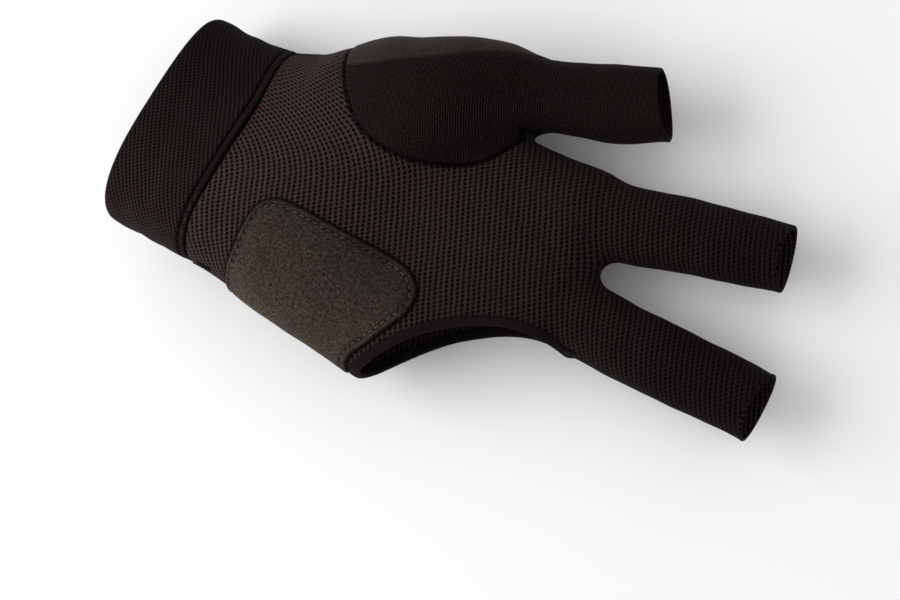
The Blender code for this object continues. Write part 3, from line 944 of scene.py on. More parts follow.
class Graph:
    """Adds nodes to a tree, with each input given as a number or as another's output."""

    def __init__(self, tree: bpy.types.NodeTree) -> None:
        """Keeps the tree that the nodes go into."""
        self.tree = tree

    def add(self, kind: str, inputs: dict | None = None, **settings: object) -> bpy.types.Node:
        """A new node, with its settings made and its inputs filled or linked."""
        node = self.tree.nodes.new(kind)
        for name, value in settings.items():
            setattr(node, name, value)
        for name, value in (inputs or {}).items():
            self.feed(node.inputs[name], value)
        return node

    def feed(self, socket: Socket, value: Value) -> None:
        """Links an output to an input, or sets the input's own value."""
        if isinstance(value, bpy.types.NodeSocket):
            self.tree.links.new(value, socket)
        else:
            socket.default_value = value

    def math(self, operation: str, a: Value, b: Value = 0.0, c: Value = 0.0) -> Socket:
        """Output of a scalar sum."""
        return self.add("ShaderNodeMath", {0: a, 1: b, 2: c}, operation=operation).outputs[0]

    def vector(self, operation: str, a: Value, b: Value = (0, 0, 0)) -> bpy.types.Node:
        """A vector sum. Length and the like are on its second output."""
        return self.add("ShaderNodeVectorMath", {0: a, 1: b}, operation=operation)

    def ramp(
        self, value: Value, low: Value, high: Value, bottom: Value = 0.0, top: Value = 1.0
    ) -> Socket:
        """A smooth S from bottom to top as a value goes from low to high."""
        inputs = {"Value": value, "From Min": low, "From Max": high, "To Min": bottom, "To Max": top}
        made = self.add("ShaderNodeMapRange", inputs, interpolation_type="SMOOTHSTEP")
        return made.outputs["Result"]

    def noise(
        self, place: Value, scale: Value, detail: float = 3.0, rough: float = 0.55
    ) -> bpy.types.Node:
        """A noise texture."""
        return self.add(
            "ShaderNodeTexNoise",
            {"Vector": place, "Scale": scale, "Detail": detail, "Roughness": rough},
        )


def new_group(
    name: str, inputs: dict[str, float | None], outputs: Sequence[str]
) -> tuple[bpy.types.NodeTree, Graph, bpy.types.Node, bpy.types.Node]:
    """An empty node group.

    Args:
        name: Name of the group.
        inputs: Its number inputs with their defaults. None makes a vector input.
        outputs: Names of its number outputs.

    Returns:
        The group, a graph on it, and its input and output nodes.
    """
    tree = bpy.data.node_groups.new(name, "ShaderNodeTree")
    for key, default in inputs.items():
        kind = "NodeSocketVector" if default is None else "NodeSocketFloat"
        socket = tree.interface.new_socket(key, in_out="INPUT", socket_type=kind)
        if default is not None:
            socket.default_value = default
    for key in outputs:
        tree.interface.new_socket(key, in_out="OUTPUT", socket_type="NodeSocketFloat")
    graph = Graph(tree)
    return tree, graph, graph.add("NodeGroupInput"), graph.add("NodeGroupOutput")


def sheared(g: Graph, place: Socket, amount: Value) -> Socket:
    """A place with its X moved by an amount times its Y."""
    parts = g.add("ShaderNodeSeparateXYZ", {"Vector": place})
    moved = g.math("MULTIPLY_ADD", parts.outputs["Y"], amount, parts.outputs["X"])
    return g.add("ShaderNodeCombineXYZ", {"X": moved, "Y": parts.outputs["Y"]}).outputs[0]


def eyelet_group() -> bpy.types.NodeTree:
    """Eyelet mesh knit: oval holes in rows, each row shifted against the last.

    The cloth is turned to the grain and sheared until every other row lines up. It is then
    divided into two sets of cells, one shifted by half a cell both ways. The distance to
    the nearer cell's middle, sheared back, gives the hole.

    Returns:
        The group. Hole is 1 in a hole. Height is low in the holes and high between them.
    """
    tree, g, start, end = new_group(
        "EyeletKnit",
        {
            "Cloth": None, "Pitch": 1.69, "Row": 1.03, "Shift": 0.26, "Grain": -0.091,
            "Wide": 0.27, "Tall": 0.37, "Tilt": -0.1,
        },
        ("Hole", "Height"),
    )
    put = start.outputs
    wander = g.vector("SUBTRACT", g.noise(put["Cloth"], 180, 2).outputs["Color"], (0.5, 0.5, 0.5))
    stray = g.vector("MULTIPLY", wander.outputs[0], (0.7, 0.7, 0))
    plain = g.vector("MULTIPLY", put["Cloth"], (1000, 1000, 0))
    moved = g.vector("ADD", plain.outputs[0], stray.outputs[0])
    turned = g.add(
        "ShaderNodeVectorRotate",
        {"Vector": moved.outputs[0], "Angle": g.math("MULTIPLY", put["Grain"], -1.0)},
        rotation_type="Z_AXIS",
    )
    rows = g.math("MULTIPLY", put["Row"], 2.0)
    cell = g.add("ShaderNodeCombineXYZ", {"X": put["Pitch"], "Y": rows, "Z": 1.0})
    hole = g.add("ShaderNodeCombineXYZ", {"X": put["Wide"], "Y": put["Tall"], "Z": 1.0})
    back = g.math("MULTIPLY", put["Shift"], -1.0)
    square = sheared(g, turned.outputs[0], back)
    place = g.vector("DIVIDE", square, cell.outputs[0])
    reach = []
    for shift in ((0, 0, 0), (0.5, 0.5, 0)):
        inside = g.vector("FRACTION", g.vector("ADD", place.outputs[0], shift).outputs[0])
        offset = g.vector("SUBTRACT", inside.outputs[0], (0.5, 0.5, 0))
        sized = g.vector("MULTIPLY", offset.outputs[0], cell.outputs[0])
        real = sheared(g, sized.outputs[0], put["Shift"])
        upright = g.add(
            "ShaderNodeVectorRotate", {"Vector": real, "Angle": put["Tilt"]}, rotation_type="Z_AXIS"
        )
        scaled = g.vector("DIVIDE", upright.outputs[0], hole.outputs[0])
        flat = g.vector("MULTIPLY", scaled.outputs[0], (1, 1, 0))
        reach.append(g.vector("LENGTH", flat.outputs[0]).outputs["Value"])
    near = g.math("MINIMUM", *reach)
    fuzz = g.noise(put["Cloth"], 2300, 2, 0.7).outputs["Fac"]
    rough = g.math("ADD", near, g.math("MULTIPLY", g.math("SUBTRACT", fuzz, 0.5), 1.9))
    g.feed(end.inputs["Hole"], g.ramp(rough, 0.75, 1.6, 1.0, 0.0))
    yarn = g.ramp(near, 0.4, 2.3, -0.5, 0.6)
    g.feed(end.inputs["Height"], g.math("MULTIPLY_ADD", fuzz, 1.5, yarn))
    return tree


def rib_group() -> bpy.types.NodeTree:
    """Fine ribs across a cloth: a rounded wave of a given pitch and heading, with fuzz.

    Returns:
        The group. Hollow is 1 between the ribs, and Height is high on them.
    """
    tree, g, start, end = new_group(
        "Ribs",
        {"Cloth": None, "Pitch": 0.7, "Grain": 1.2, "Fuzz": 0.3, "Wander": 0.3},
        ("Hole", "Height"),
    )
    put = start.outputs
    wander = g.vector("SUBTRACT", g.noise(put["Cloth"], 150, 2).outputs["Color"], (0.5, 0.5, 0.5))
    stray = g.add(
        "ShaderNodeVectorMath", {0: wander.outputs[0], "Scale": put["Wander"]}, operation="SCALE"
    )
    plain = g.vector("MULTIPLY", put["Cloth"], (1000, 1000, 0))
    moved = g.vector("ADD", plain.outputs[0], stray.outputs[0])
    turned = g.add(
        "ShaderNodeVectorRotate",
        {"Vector": moved.outputs[0], "Angle": g.math("MULTIPLY", put["Grain"], -1.0)},
        rotation_type="Z_AXIS",
    )
    across = g.add("ShaderNodeSeparateXYZ", {"Vector": turned.outputs[0]}).outputs["X"]
    phase = g.math("MULTIPLY", g.math("DIVIDE", across, put["Pitch"]), 2 * math.pi)
    wave = g.math("MULTIPLY_ADD", g.math("COSINE", phase), 0.5, 0.5)
    fuzz = g.noise(put["Cloth"], 2400, 2).outputs["Fac"]
    soft = g.math("MULTIPLY", g.math("SUBTRACT", fuzz, 0.5), put["Fuzz"])
    height = g.math("ADD", wave, soft)
    g.feed(end.inputs["Hole"], g.ramp(height, 0.15, 0.6, 1.0, 0.0))
    g.feed(end.inputs["Height"], height)
    return tree


def nap_group() -> bpy.types.NodeTree:
    """Suede: short fibres in small clumps, with finger-stroked patches of lighter nap.

    Returns:
        The group. Hole is 1 in the dark specks, and Height is the nap's own relief.
    """
    tree, g, start, end = new_group("Nap", {"Cloth": None, "Size": 1.0}, ("Hole", "Height"))
    put = start.outputs
    clump = g.noise(put["Cloth"], g.math("DIVIDE", 1500.0, put["Size"]), 4, 0.7).outputs["Fac"]
    speck = g.noise(put["Cloth"], g.math("DIVIDE", 3400.0, put["Size"]), 2, 0.6).outputs["Fac"]
    mixed = g.math("MULTIPLY_ADD", speck, 0.45, g.math("MULTIPLY", clump, 0.55))
    g.feed(end.inputs["Hole"], g.ramp(mixed, 0.35, 0.65, 1.0, 0.0))
    g.feed(end.inputs["Height"], mixed)
    return tree


def wear_and_painted_light_group() -> bpy.types.NodeTree:
    """Slow change of tone over the whole glove: two sizes of noise for patches of tone, and an even slope
    of painted shade.

    Returns:
        The group. Tone is 1 in the middle, and Along and Across change it per metre as painted shade.
    """
    tree, g, start, end = new_group(
        "Wear", {"Place": None, "Amount": 0.4, "Along": 0.0, "Across": 0.0}, ("Tone",)
    )
    put = start.outputs
    broad = g.noise(put["Place"], 45, 3).outputs["Fac"]
    small = g.noise(put["Place"], 260, 3).outputs["Fac"]
    both = g.math("MULTIPLY_ADD", small, 0.45, g.math("MULTIPLY", broad, 0.55))
    patchy = g.math("MULTIPLY_ADD", g.math("SUBTRACT", both, 0.5), put["Amount"], 1.0)
    parts = g.add("ShaderNodeSeparateXYZ", {"Vector": put["Place"]})
    # Painted shade: the tone slopes along X and Y at the Along and Across rates.
    ramped = g.math("MULTIPLY_ADD", parts.outputs["X"], put["Along"], patchy)
    ramped = g.math("MULTIPLY_ADD", parts.outputs["Y"], put["Across"], ramped)
    g.feed(end.inputs["Tone"], g.math("MAXIMUM", ramped, 0.3))
    return tree


@dataclass
class Weaves:
    """The shared node groups, built once."""

    eyelet: bpy.types.NodeTree = field(default_factory=eyelet_group)
    rib: bpy.types.NodeTree = field(default_factory=rib_group)
    nap: bpy.types.NodeTree = field(default_factory=nap_group)
    wear: bpy.types.NodeTree = field(default_factory=wear_and_painted_light_group)


@dataclass(frozen=True)
class Finish:
    """One textile: its weave, its two colours, and how it takes the light."""

    name: str
    slot: str
    weave: str
    weave_inputs: dict[str, float]
    dark: tuple[float, float, float]
    light: tuple[float, float, float]
    roughness: float = 0.75
    specular: float = 0.03
    sheen: float = 0.01
    sheen_tint: tuple[float, float, float] = (0.75, 0.65, 0.62)
    relief: float = 0.12
    # Amount of random tone patches (partly painted sheen and glints on the pad's suede and thread), the
    # painted highlight on the yarn crowns, and a painted shade slope along X and Y per metre.
    wear: float = 0.5
    painted_crown_light: float = 0.3
    painted_shade_slope: tuple[float, float] = (0.0, 0.0)

    def material(self, weaves: Weaves) -> bpy.types.Material:
        """Builds the material: weave into colour and bump, and wear, painted shade and painted highlights
        into colour.
        """
        made = bpy.data.materials.new(self.name)
        made.use_nodes = True
        g = Graph(made.node_tree)
        shader = made.node_tree.nodes["Principled BSDF"]
        cloth = g.add("ShaderNodeUVMap", uv_map=PATTERN_MAP).outputs["UV"]
        place = g.add("ShaderNodeTexCoord").outputs["Object"]
        weave = g.add("ShaderNodeGroup", node_tree=getattr(weaves, self.weave))
        g.feed(weave.inputs["Cloth"], cloth)
        for key, value in self.weave_inputs.items():
            weave.inputs[key].default_value = value
        wear = g.add("ShaderNodeGroup", node_tree=weaves.wear)
        g.feed(wear.inputs["Place"], place)
        wear.inputs["Amount"].default_value = self.wear
        # Painted shade slope along X and Y.
        wear.inputs["Along"].default_value, wear.inputs["Across"].default_value = self.painted_shade_slope
        colour = g.add("ShaderNodeMix", {0: weave.outputs["Hole"]}, data_type="RGBA")
        colour.inputs[6].default_value = (*self.light, 1)
        colour.inputs[7].default_value = (*self.dark, 1)
        # Painted highlight on the yarn crowns and painted shade in the low parts of the weave, from its
        # height.
        painted_crown_light = g.ramp(weave.outputs["Height"], 0.2, 1.3, 1.0 - self.painted_crown_light, 1.0 + self.painted_crown_light)
        # Painted shade in the seam grooves, read from the seam_shade attribute, takes up to 93% of the
        # colour.
        seam = g.add("ShaderNodeAttribute", attribute_name=SEAM_SHADE).outputs["Fac"]
        kept = g.math("SUBTRACT", 1.0, g.math("MULTIPLY", seam, 0.93))
        tone = g.math("MULTIPLY", g.math("MULTIPLY", wear.outputs["Tone"], painted_crown_light), kept)
        toned = g.add(
            "ShaderNodeVectorMath", {0: colour.outputs[2], "Scale": tone}, operation="SCALE"
        )
        relief = {"Height": weave.outputs["Height"], "Distance": self.relief * MM, "Strength": 1.0}
        bump = g.add("ShaderNodeBump", relief)
        g.feed(shader.inputs["Base Color"], toned.outputs[0])
        g.feed(shader.inputs["Normal"], bump.outputs[0])
        shader.inputs["Roughness"].default_value = self.roughness
        shader.inputs["Specular IOR Level"].default_value = self.specular
        shader.inputs["Sheen Weight"].default_value = self.sheen
        shader.inputs["Sheen Roughness"].default_value = 0.5
        shader.inputs["Sheen Tint"].default_value = (*self.sheen_tint, 1)
        return made


# The slopes on the palm knit, cuff knit and pad suede are painted shade: darker towards the fingertips
# and the thumb side, as if lit from the wrist and the little-finger side.
PALM_KNIT = Finish(
    "palm_knit", "mesh_knit", "eyelet", {}, (0.0010, 0.0007, 0.0007), (0.0185, 0.0119, 0.0112),
    relief=0.35, painted_crown_light=0.95, painted_shade_slope=(-8.0, 0.0),
)
BACK_KNIT = Finish(
    "back_knit", "mesh_knit", "eyelet", {}, (0.0010, 0.0007, 0.0007), (0.0158, 0.0101, 0.0096),
    relief=0.35, painted_crown_light=0.95,
)
CUFF_KNIT = Finish(
    "cuff_knit", "fine_mesh_knit", "eyelet",
    {"Pitch": 1.35, "Row": 0.82, "Shift": 0.21, "Wide": 0.22, "Tall": 0.28},
    (0.0006, 0.0004, 0.0004), (0.0088, 0.0055, 0.0053), relief=0.25, painted_crown_light=0.98, painted_shade_slope=(0.0, -18.0),
)
THUMB_JERSEY = Finish(
    "thumb_jersey", "jersey", "rib", {"Pitch": 0.62, "Grain": 0.35, "Fuzz": 3.2},
    (0.0034, 0.0021, 0.0020), (0.0128, 0.0081, 0.0075), relief=0.1, wear=0.5, painted_crown_light=0.65,
)
# Its strong tone patches are partly the suede's own mottling and partly painted sheen.
PAD_SUEDE = Finish(
    "pad_suede", "suede", "nap", {"Size": 1.4}, (0.0058, 0.0038, 0.0031), (0.0440, 0.0332, 0.0265),
    roughness=0.9, specular=0.05, sheen=0.05, sheen_tint=(0.8, 0.75, 0.62), relief=0.2, wear=2.4,
    painted_shade_slope=(-10.0, -24.0),
)
STRIP_SUEDE = Finish(
    "strip_suede", "suede", "nap", {}, (0.0110, 0.0077, 0.0066), (0.0410, 0.0304, 0.0266),
    roughness=0.9, specular=0.05, sheen=0.05, sheen_tint=(0.8, 0.72, 0.65), relief=0.1, wear=0.7,
)
SEAM_TAPE = Finish(
    "seam_tape", "tape", "rib", {"Pitch": 0.7, "Grain": 0.4, "Wander": 0.3},
    (0.0035, 0.0023, 0.0023), (0.0145, 0.0098, 0.0094), relief=0.12,
)
EDGE_TAPE = Finish(
    "edge_tape", "tape", "rib", {"Pitch": 0.55, "Grain": 0.3, "Wander": 0.3},
    (0.0035, 0.0022, 0.0022), (0.0120, 0.0080, 0.0078), relief=0.06,
)
DARK_THREAD = Finish(
    "dark_thread", "thread", "rib", {"Pitch": 0.3, "Grain": 0.6},
    (0.0012, 0.001, 0.001), (0.004, 0.003, 0.003), roughness=0.6, relief=0.04,
)
# Dark thread on the heel pad: its pale colour, spread over random stitches by strong tone patches, is
# painted glints.
GLINT_THREAD = Finish(
    "pale_thread", "thread", "rib", {"Pitch": 0.3, "Grain": 0.6},
    (0.006, 0.004, 0.003), (0.130, 0.103, 0.080), roughness=0.45, specular=0.25, relief=0.05, wear=5.0,
)
GREY_THREAD = Finish(
    "grey_thread", "thread", "rib", {"Pitch": 0.3, "Grain": 0.6},
    (0.004, 0.003, 0.003), (0.012, 0.009, 0.008), roughness=0.5, specular=0.3, relief=0.04,
)
BAND_ELASTIC = Finish(
    "band_elastic", "elastic", "rib", {"Pitch": 1.1, "Grain": 0.0},
    (0.002, 0.002, 0.002), (0.007, 0.006, 0.006), relief=0.1,
)


# ---- the pieces ---------------------------------------------------------------------
@dataclass
class Workshop:
    """What every sub-assembly needs: the form, the finishes, and how to enter a piece."""

    form: GloveForm
    weaves: Weaves
    made: dict[str, bpy.types.Material] = field(default_factory=dict)

    def finish(self, finish: Finish) -> bpy.types.Material:
        """The material of a finish, built on first use."""
        if finish.name not in self.made:
            self.made[finish.name] = finish.material(self.weaves)
        return self.made[finish.name]

    def enter(self, piece: bpy.types.Object, finish: Finish, nodes: Sequence[str], body: Body) -> None:
        """Hides the CAD nodes that a piece stands for, and attaches it to the body it rides."""
        if nodes:
            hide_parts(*nodes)
        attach(piece, body.value)
        log.info("%s: %d faces", piece.name, len(piece.data.polygons))

    def enter_bending(
        self, piece: bpy.types.Object, finish: Finish, nodes: Sequence[str], bend: "Bend"
    ) -> None:
        """Hides the CAD nodes that a piece across a joint stands for, and bakes its placement into its
        mesh.
        """
        if nodes:
            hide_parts(*nodes)
        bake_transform(piece)
        log.info("%s: %d faces, bends", piece.name, len(piece.data.polygons))

    def stretched(self, piece: bpy.types.Object, surface: Surface, pattern: Array) -> None:
        """Works out a panel's size and area on the flat cloth, and logs them."""
        size = (pattern.max(axis=0) - pattern.min(axis=0)) / MM
        a, b, c = (pattern[surface.faces[:, i]] / MM for i in range(3))
        area = float(np.abs(np.cross(b - a, c - a)).sum() / 2)
        width, length = np.maximum(size, 10.0) * MM
        area = float(np.clip(area * MM * MM, 0.31 * width * length, width * length))
        log.info("%s: cut %.1f x %.1f mm, %.0f mm2", piece.name, width / MM, length / MM, area / MM**2)


@dataclass(frozen=True)
class Bend:
    """Two bodies and the two points between which a fabric turns from one to the other."""

    near: Body
    far: Body
    start: tuple[float, float, float]
    end: tuple[float, float, float]

    @classmethod
    def across(cls, near: Body, far: Body, limb: Limb, first: float, last: float) -> "Bend":
        """A bend between two distances along a limb."""
        places = limb.place(np.array([first, last]), np.zeros(2), np.zeros(2)) * MM
        return cls(near, far, tuple(places[0]), tuple(places[1]))


@dataclass(frozen=True)
class Panel:
    """One panel of the skin: where it is, what it is made of, and how it moves."""

    name: str
    finish: Finish
    nodes: tuple[str, ...]
    side: Side
    limbs: tuple[Limb, ...]
    holds: Callable[[dict[str, Array]], Array]
    motion: Body | Bend


def in_stall(finger: str, tip: bool, side: Side, facts: dict[str, Array]) -> Array:
    """True for the triangles of one part and one side of a finger's stall."""
    return (facts["top"] == (side is Side.PALM)) & facts[finger] & (facts["tip"] == tip)


@dataclass
class Skin:
    """The whole outer skin and the panels that it is cut into.

    The skin is cut through along every seam and along a few lines beside each, so that
    the seams are crisp, and each panel then takes the triangles on its side of them.
    """

    shop: Workshop
    pitch: float = 0.9
    thickness: float = 0.9
    index_knuckle: float = 6.0
    index_joint: float = 25.7
    middle_knuckle: float = 6.5
    middle_joint: float = 29.0
    thumb_joint: float = 9.0
    thumb_lead: float = 4.5
    thumb_lag: float = 8.0
    lead: float = 5.0
    lag: float = 9.0
    index_part: float = 7.7
    middle_part: float = 9.0
    no_mouth: float = 50.0
    pull: float = 0.055
    pull_from: float = 12.0
    pull_across: tuple[float, float] = (0.88, 0.47)
    pull_ends: tuple[float, float] = (-13.0, 4.0)
    low: tuple[float, float, float] = (-57.0, -47.0, -2.0)
    high: tuple[float, float, float] = (112.0, 74.0, 44.0)

    def whole(self) -> Surface:
        """The trimmed skin, with an edge along every seam."""
        form = self.shop.form
        skin = surface_net(form.body, np.array(self.low), np.array(self.high), self.pitch)
        skin = skin.relaxed(form.body, 3)
        for trim in (form.opening, form.wrist, self.mouths):
            skin = skin.cut(trim(skin.points))
        seams: list[tuple[Field, tuple[float, ...]]] = [
            (form.side_seam, (0, -1.1, -0.5, 0.5, 1.1)),
            (form.thumb_seam, (0, -1.3, -0.7, -0.35, 0.35, 0.7, 1.3)),
            (form.strip_seam, (0, -0.4, 0.4, 0.9)),
            (form.wrist, (0.4, 0.7, 1.05, 1.4, 1.8, 2.3)),
            (form.pad_edge, (-0.8, -0.5, -0.15, 0.3)),
            (self.splits, (0,)),
            (self.second_splits, (0,)),
        ]
        for of, levels in seams:
            for level in levels:
                skin = skin.cut(of(skin.points) - level, both=True)
        return skin

    def mouths(self, points: Array) -> Array:
        """Distance short of the open end of whichever limb is nearest."""
        form = self.shop.form
        choice = form.nearest(points)
        stalls = (form.thumb_mouth, form.index_mouth, form.middle_mouth)
        short = [np.full(len(points), self.no_mouth), *(mouth(points) for mouth in stalls)]
        return np.choose(choice, short)

    def splits(self, points: Array) -> Array:
        """Zero where the stalls part from the hand."""
        form = self.shop.form
        thumb = form.thumb_along(points) - (self.thumb_joint - self.thumb_lead)
        index = form.index_along(points) - (self.index_knuckle - self.lead)
        middle = form.middle_along(points) - (self.middle_knuckle - self.lead)
        choice = np.where(form.nearer_index(points), index, middle)
        return np.where(form.nearest(points) == 1, thumb, choice)

    def second_splits(self, points: Array) -> Array:
        """Zero where the stalls part between their two joints."""
        form = self.shop.form
        index = form.index_along(points) - (self.index_joint - self.index_part)
        middle = form.middle_along(points) - (self.middle_joint - self.middle_part)
        return np.where(form.nearer_index(points), index, middle)

    def facts(self, points: Array) -> dict[str, Array]:
        """The choices that tell the panels apart, read at the triangles' middles."""
        form = self.shop.form
        on_thumb = form.nearest(points) == 1
        beyond = self.splits(points) > 0
        on_index = form.nearer_index(points)
        tip = beyond & ~on_thumb & (self.second_splits(points) > 0)
        return {
            "top": form.side_seam(points) > 0,
            "jersey": form.thumb_seam(points) > 0,
            "suede": form.strip_seam(points) > 0,
            "thumb": beyond & on_thumb,
            "index": beyond & ~on_thumb & on_index,
            "middle": beyond & ~on_thumb & ~on_index,
            "hand": ~beyond,
            "tip": tip,
        }

    def hand_panels(self) -> list[Panel]:
        """The panels of the hand and the thumb."""
        form = self.shop.form
        up, down = Side.PALM, Side.BACK
        flat, thumb = (form.palm, form.index, form.middle), (form.thumb,)
        bend = Bend.across(
            Body.HAND, Body.THUMB, form.thumb,
            self.thumb_joint - self.thumb_lead, self.thumb_joint + self.thumb_lag,
        )
        return [
            Panel("palm_mesh", PALM_KNIT, ("palm_mesh_panel",), up, flat,
                  lambda f: f["top"] & f["hand"] & ~f["jersey"], Body.HAND),
            Panel("back_mesh", BACK_KNIT, ("back_panel",), down, form.limbs(),
                  lambda f: ~f["top"] & f["hand"], Body.HAND),
            Panel("thumb_ball_jersey", THUMB_JERSEY, ("thumb_panel",), up, thumb,
                  lambda f: f["top"] & f["hand"] & f["jersey"] & ~f["suede"], Body.HAND),
            Panel("thumb_edge_suede", STRIP_SUEDE, ("thumb_suede_strip",), up, thumb,
                  lambda f: f["top"] & f["hand"] & f["jersey"] & f["suede"], Body.HAND),
            Panel("thumb_stall_palm_side", THUMB_JERSEY, ("thumb_stall",), up, thumb,
                  lambda f: f["top"] & f["thumb"], bend),
            Panel("thumb_stall_back_side", THUMB_JERSEY, ("thumb_stall",), down, thumb,
                  lambda f: ~f["top"] & f["thumb"], bend),
        ]

    def finger_panels(self) -> list[Panel]:
        """The panels of both fingers: base and tip, each with a palm side and a back."""
        form = self.shop.form
        hand, flat = Body.HAND, (form.palm, form.index, form.middle)
        fingers = (
            ("index", form.index, self.index_knuckle, self.index_joint,
             (hand, Body.INDEX_BASE, Body.INDEX_TIP)),
            ("middle", form.middle, self.middle_knuckle, self.middle_joint,
             (hand, Body.MIDDLE_BASE, Body.MIDDLE_TIP)),
        )
        panels = []
        for finger, limb, knuckle, joint, bodies in fingers:
            for part, at, near, far in zip(("base", "tip"), (knuckle, joint), bodies, bodies[1:]):
                bend = Bend.across(near, far, limb, at - self.lead, at + self.lag)
                for side, knit in ((Side.PALM, PALM_KNIT), (Side.BACK, BACK_KNIT)):
                    panels.append(Panel(
                        f"{finger}_{part}_{side.name.lower()}_side", knit,
                        (f"{finger}_stall_{part}",), side, flat,
                        partial(in_stall, finger, part == "tip", side), bend,
                    ))
        return panels

    def drawn(self, pattern: Array, points: Array) -> Array:
        """Grain drawn round towards the thumb's seam, where the gusset pulls the knit.

        The courses lean further over the nearer they are to the root of the thumb, which
        slides the cloth along itself and leaves its area as it was.
        """
        across = np.array(self.pull_across)
        along = points[:, :2] @ across
        up = points[:, :2] @ [-across[1], across[0]]
        pull = self.pull / 2 * np.clip(up - self.pull_from, 0, None) ** 2
        pull *= 1 - smooth_step(along, *self.pull_ends)
        return pattern + np.outer(pull, across) * MM

    def build(self) -> None:
        """Cuts the skin and makes every panel."""
        form = self.shop.form
        skin = self.whole()
        facts = self.facts(skin.points[skin.faces].mean(axis=1))
        placed = project(skin.points, form.sewn, 3)
        normals = unit(gradient(form.sewn, placed))
        for panel in self.hand_panels() + self.finger_panels():
            used, inverse = np.unique(skin.faces[panel.holds(facts)], return_inverse=True)
            part = Surface(placed[used], inverse.reshape(-1, 3))
            pattern = form.pattern(skin.points[used], panel.side, panel.limbs)
            grain = self.drawn(pattern, part.points) if panel.name == GUSSETED else pattern
            piece = thick_object(
                panel.name, part, normals[used], self.thickness, self.shop.finish(panel.finish),
                grain, form.shade(skin.points[used]),
            )
            self.shop.stretched(piece, part, pattern)
            if isinstance(panel.motion, Bend):
                self.shop.enter_bending(piece, panel.finish, panel.nodes, panel.motion)
            else:
                self.shop.enter(piece, panel.finish, panel.nodes, panel.motion)


def dropped(of: Field, plan: Array, top: float = 44.0, bottom: float = 12.0) -> Array:
    """Where lines straight down first meet a surface. Lines that miss it are left out.

    Args:
        of: The field whose zero surface is met.
        plan: X and Y of each line.
        top: Height to start from.
        bottom: Height to give up at.

    Returns:
        The meeting points, in the lines' order.
    """
    levels = np.arange(top, bottom, -0.5)
    grid = np.concatenate([
        np.repeat(plan, len(levels), axis=0), np.tile(levels, len(plan))[:, None],
    ], axis=1)
    value = of(grid).reshape(len(plan), len(levels))
    hit = (value < 0).any(axis=1) & (value[:, 0] > 0)
    first = np.argmax(value < 0, axis=1)[hit]
    rows = np.nonzero(hit)[0]
    before, after = value[rows, first - 1], value[rows, first]
    height = levels[first - 1] - 0.5 * before / (before - after)
    return np.column_stack([plan[rows], height])


@dataclass
class HeelPad:
    """Suede patch on the heel of the palm, with one row of stitches inside its edge.

    The patch is a piece of the palm's own surface, lifted by its thickness. It rolls down
    to the palm at its edge and is pulled in along the stitches.
    """

    shop: Workshop
    height: float = 1.0
    roll: float = 1.2
    inset: float = 1.8
    pull: float = 0.4

    def lift(self, inside: Array) -> Array:
        """Height above the palm, from the distance inside the edge."""
        t = np.clip(inside / self.roll, 0, 1)
        rolled = np.sqrt(1 - (1 - t) ** 2)
        return self.height * rolled - self.pull * ridge(inside - self.inset, 0.5) - 0.1

    def inside(self, points: Array) -> Array:
        """Distance inside the patch, whose far side ends at the binding and side seam."""
        form = self.shop.form
        ends = np.minimum(form.side_seam(points) - 0.6, form.opening(points) - 1.0)
        return np.minimum(form.pad_edge(points), ends)

    def surface(self, points: Array) -> Array:
        """Field of the patch's outer face."""
        return self.shop.form.sewn(points) - self.lift(self.inside(points))

    def build(self) -> None:
        """Makes the patch and its stitches."""
        form = self.shop.form
        net = surface_net(form.body, np.array([-48.0, -46.0, 10.0]), np.array([20.0, -4.0, 42.0]), 0.8)
        net = net.relaxed(form.body, 2)
        net = net.cut(self.inside(net.points))
        for level in (0.12, 0.35, 0.7, 1.2, 1.5, 1.8, 2.1, 2.5):
            net = net.cut(self.inside(net.points) - level, both=True)
        placed = project(net.points, form.sewn, 2)
        under = unit(gradient(form.sewn, placed))
        depth = self.inside(placed)
        outer = placed + under * self.lift(depth)[:, None]
        slope = gradient(self.inside, placed)
        rate = (self.lift(depth + 0.05) - self.lift(depth - 0.05)) / 0.1
        normals = unit(under - slope * np.clip(rate, -2.5, 2.5)[:, None])
        pattern = form.pattern(net.points, Side.PALM, (form.palm,))
        part = Surface(outer, net.faces)
        thick = np.maximum(self.lift(depth) + 0.25, 0.1)
        # Painted shade along the patch's rolled edge and in the stitch channel.
        shade = np.maximum(ridge(depth - 0.1, 0.5), 0.8 * ridge(depth - self.inset, 0.36))
        piece = thick_object(
            "heel_pad", part, normals, thick, self.shop.finish(PAD_SUEDE), pattern, shade
        )
        self.shop.stretched(piece, part, pattern)
        self.shop.enter(piece, PAD_SUEDE, ("heel_pad_suede",), Body.HAND)
        self.stitches()

    def stitches(self) -> None:
        """The row of thread, laid down in its channel, with painted glints on some stitches."""
        form = self.shop.form
        outline = rounded_outline(form.pad_outline)
        ahead = tangents(outline, True)
        inward = np.column_stack([ahead[:, 1], -ahead[:, 0]])
        if plan_distance(outline, outline + inward * 0.5).mean() < 0:
            inward = -inward
        line = even_line(np.roll(outline + inward * self.inset, 3, axis=0), 0.5)
        path = dropped(self.surface, line[:, :2])
        path = path[self.inside(path) > self.inset - 0.25]
        normals = unit(gradient(form.sewn, path))
        stitch = Stitch(length=1.45, radius=0.19, pitch=2.1, sink=-0.03)
        piece = stitch.row("heel_pad_thread", path, normals, False, self.shop.finish(GLINT_THREAD))
        self.shop.enter(piece, GLINT_THREAD, ("heel_pad_stitching",), Body.HAND)


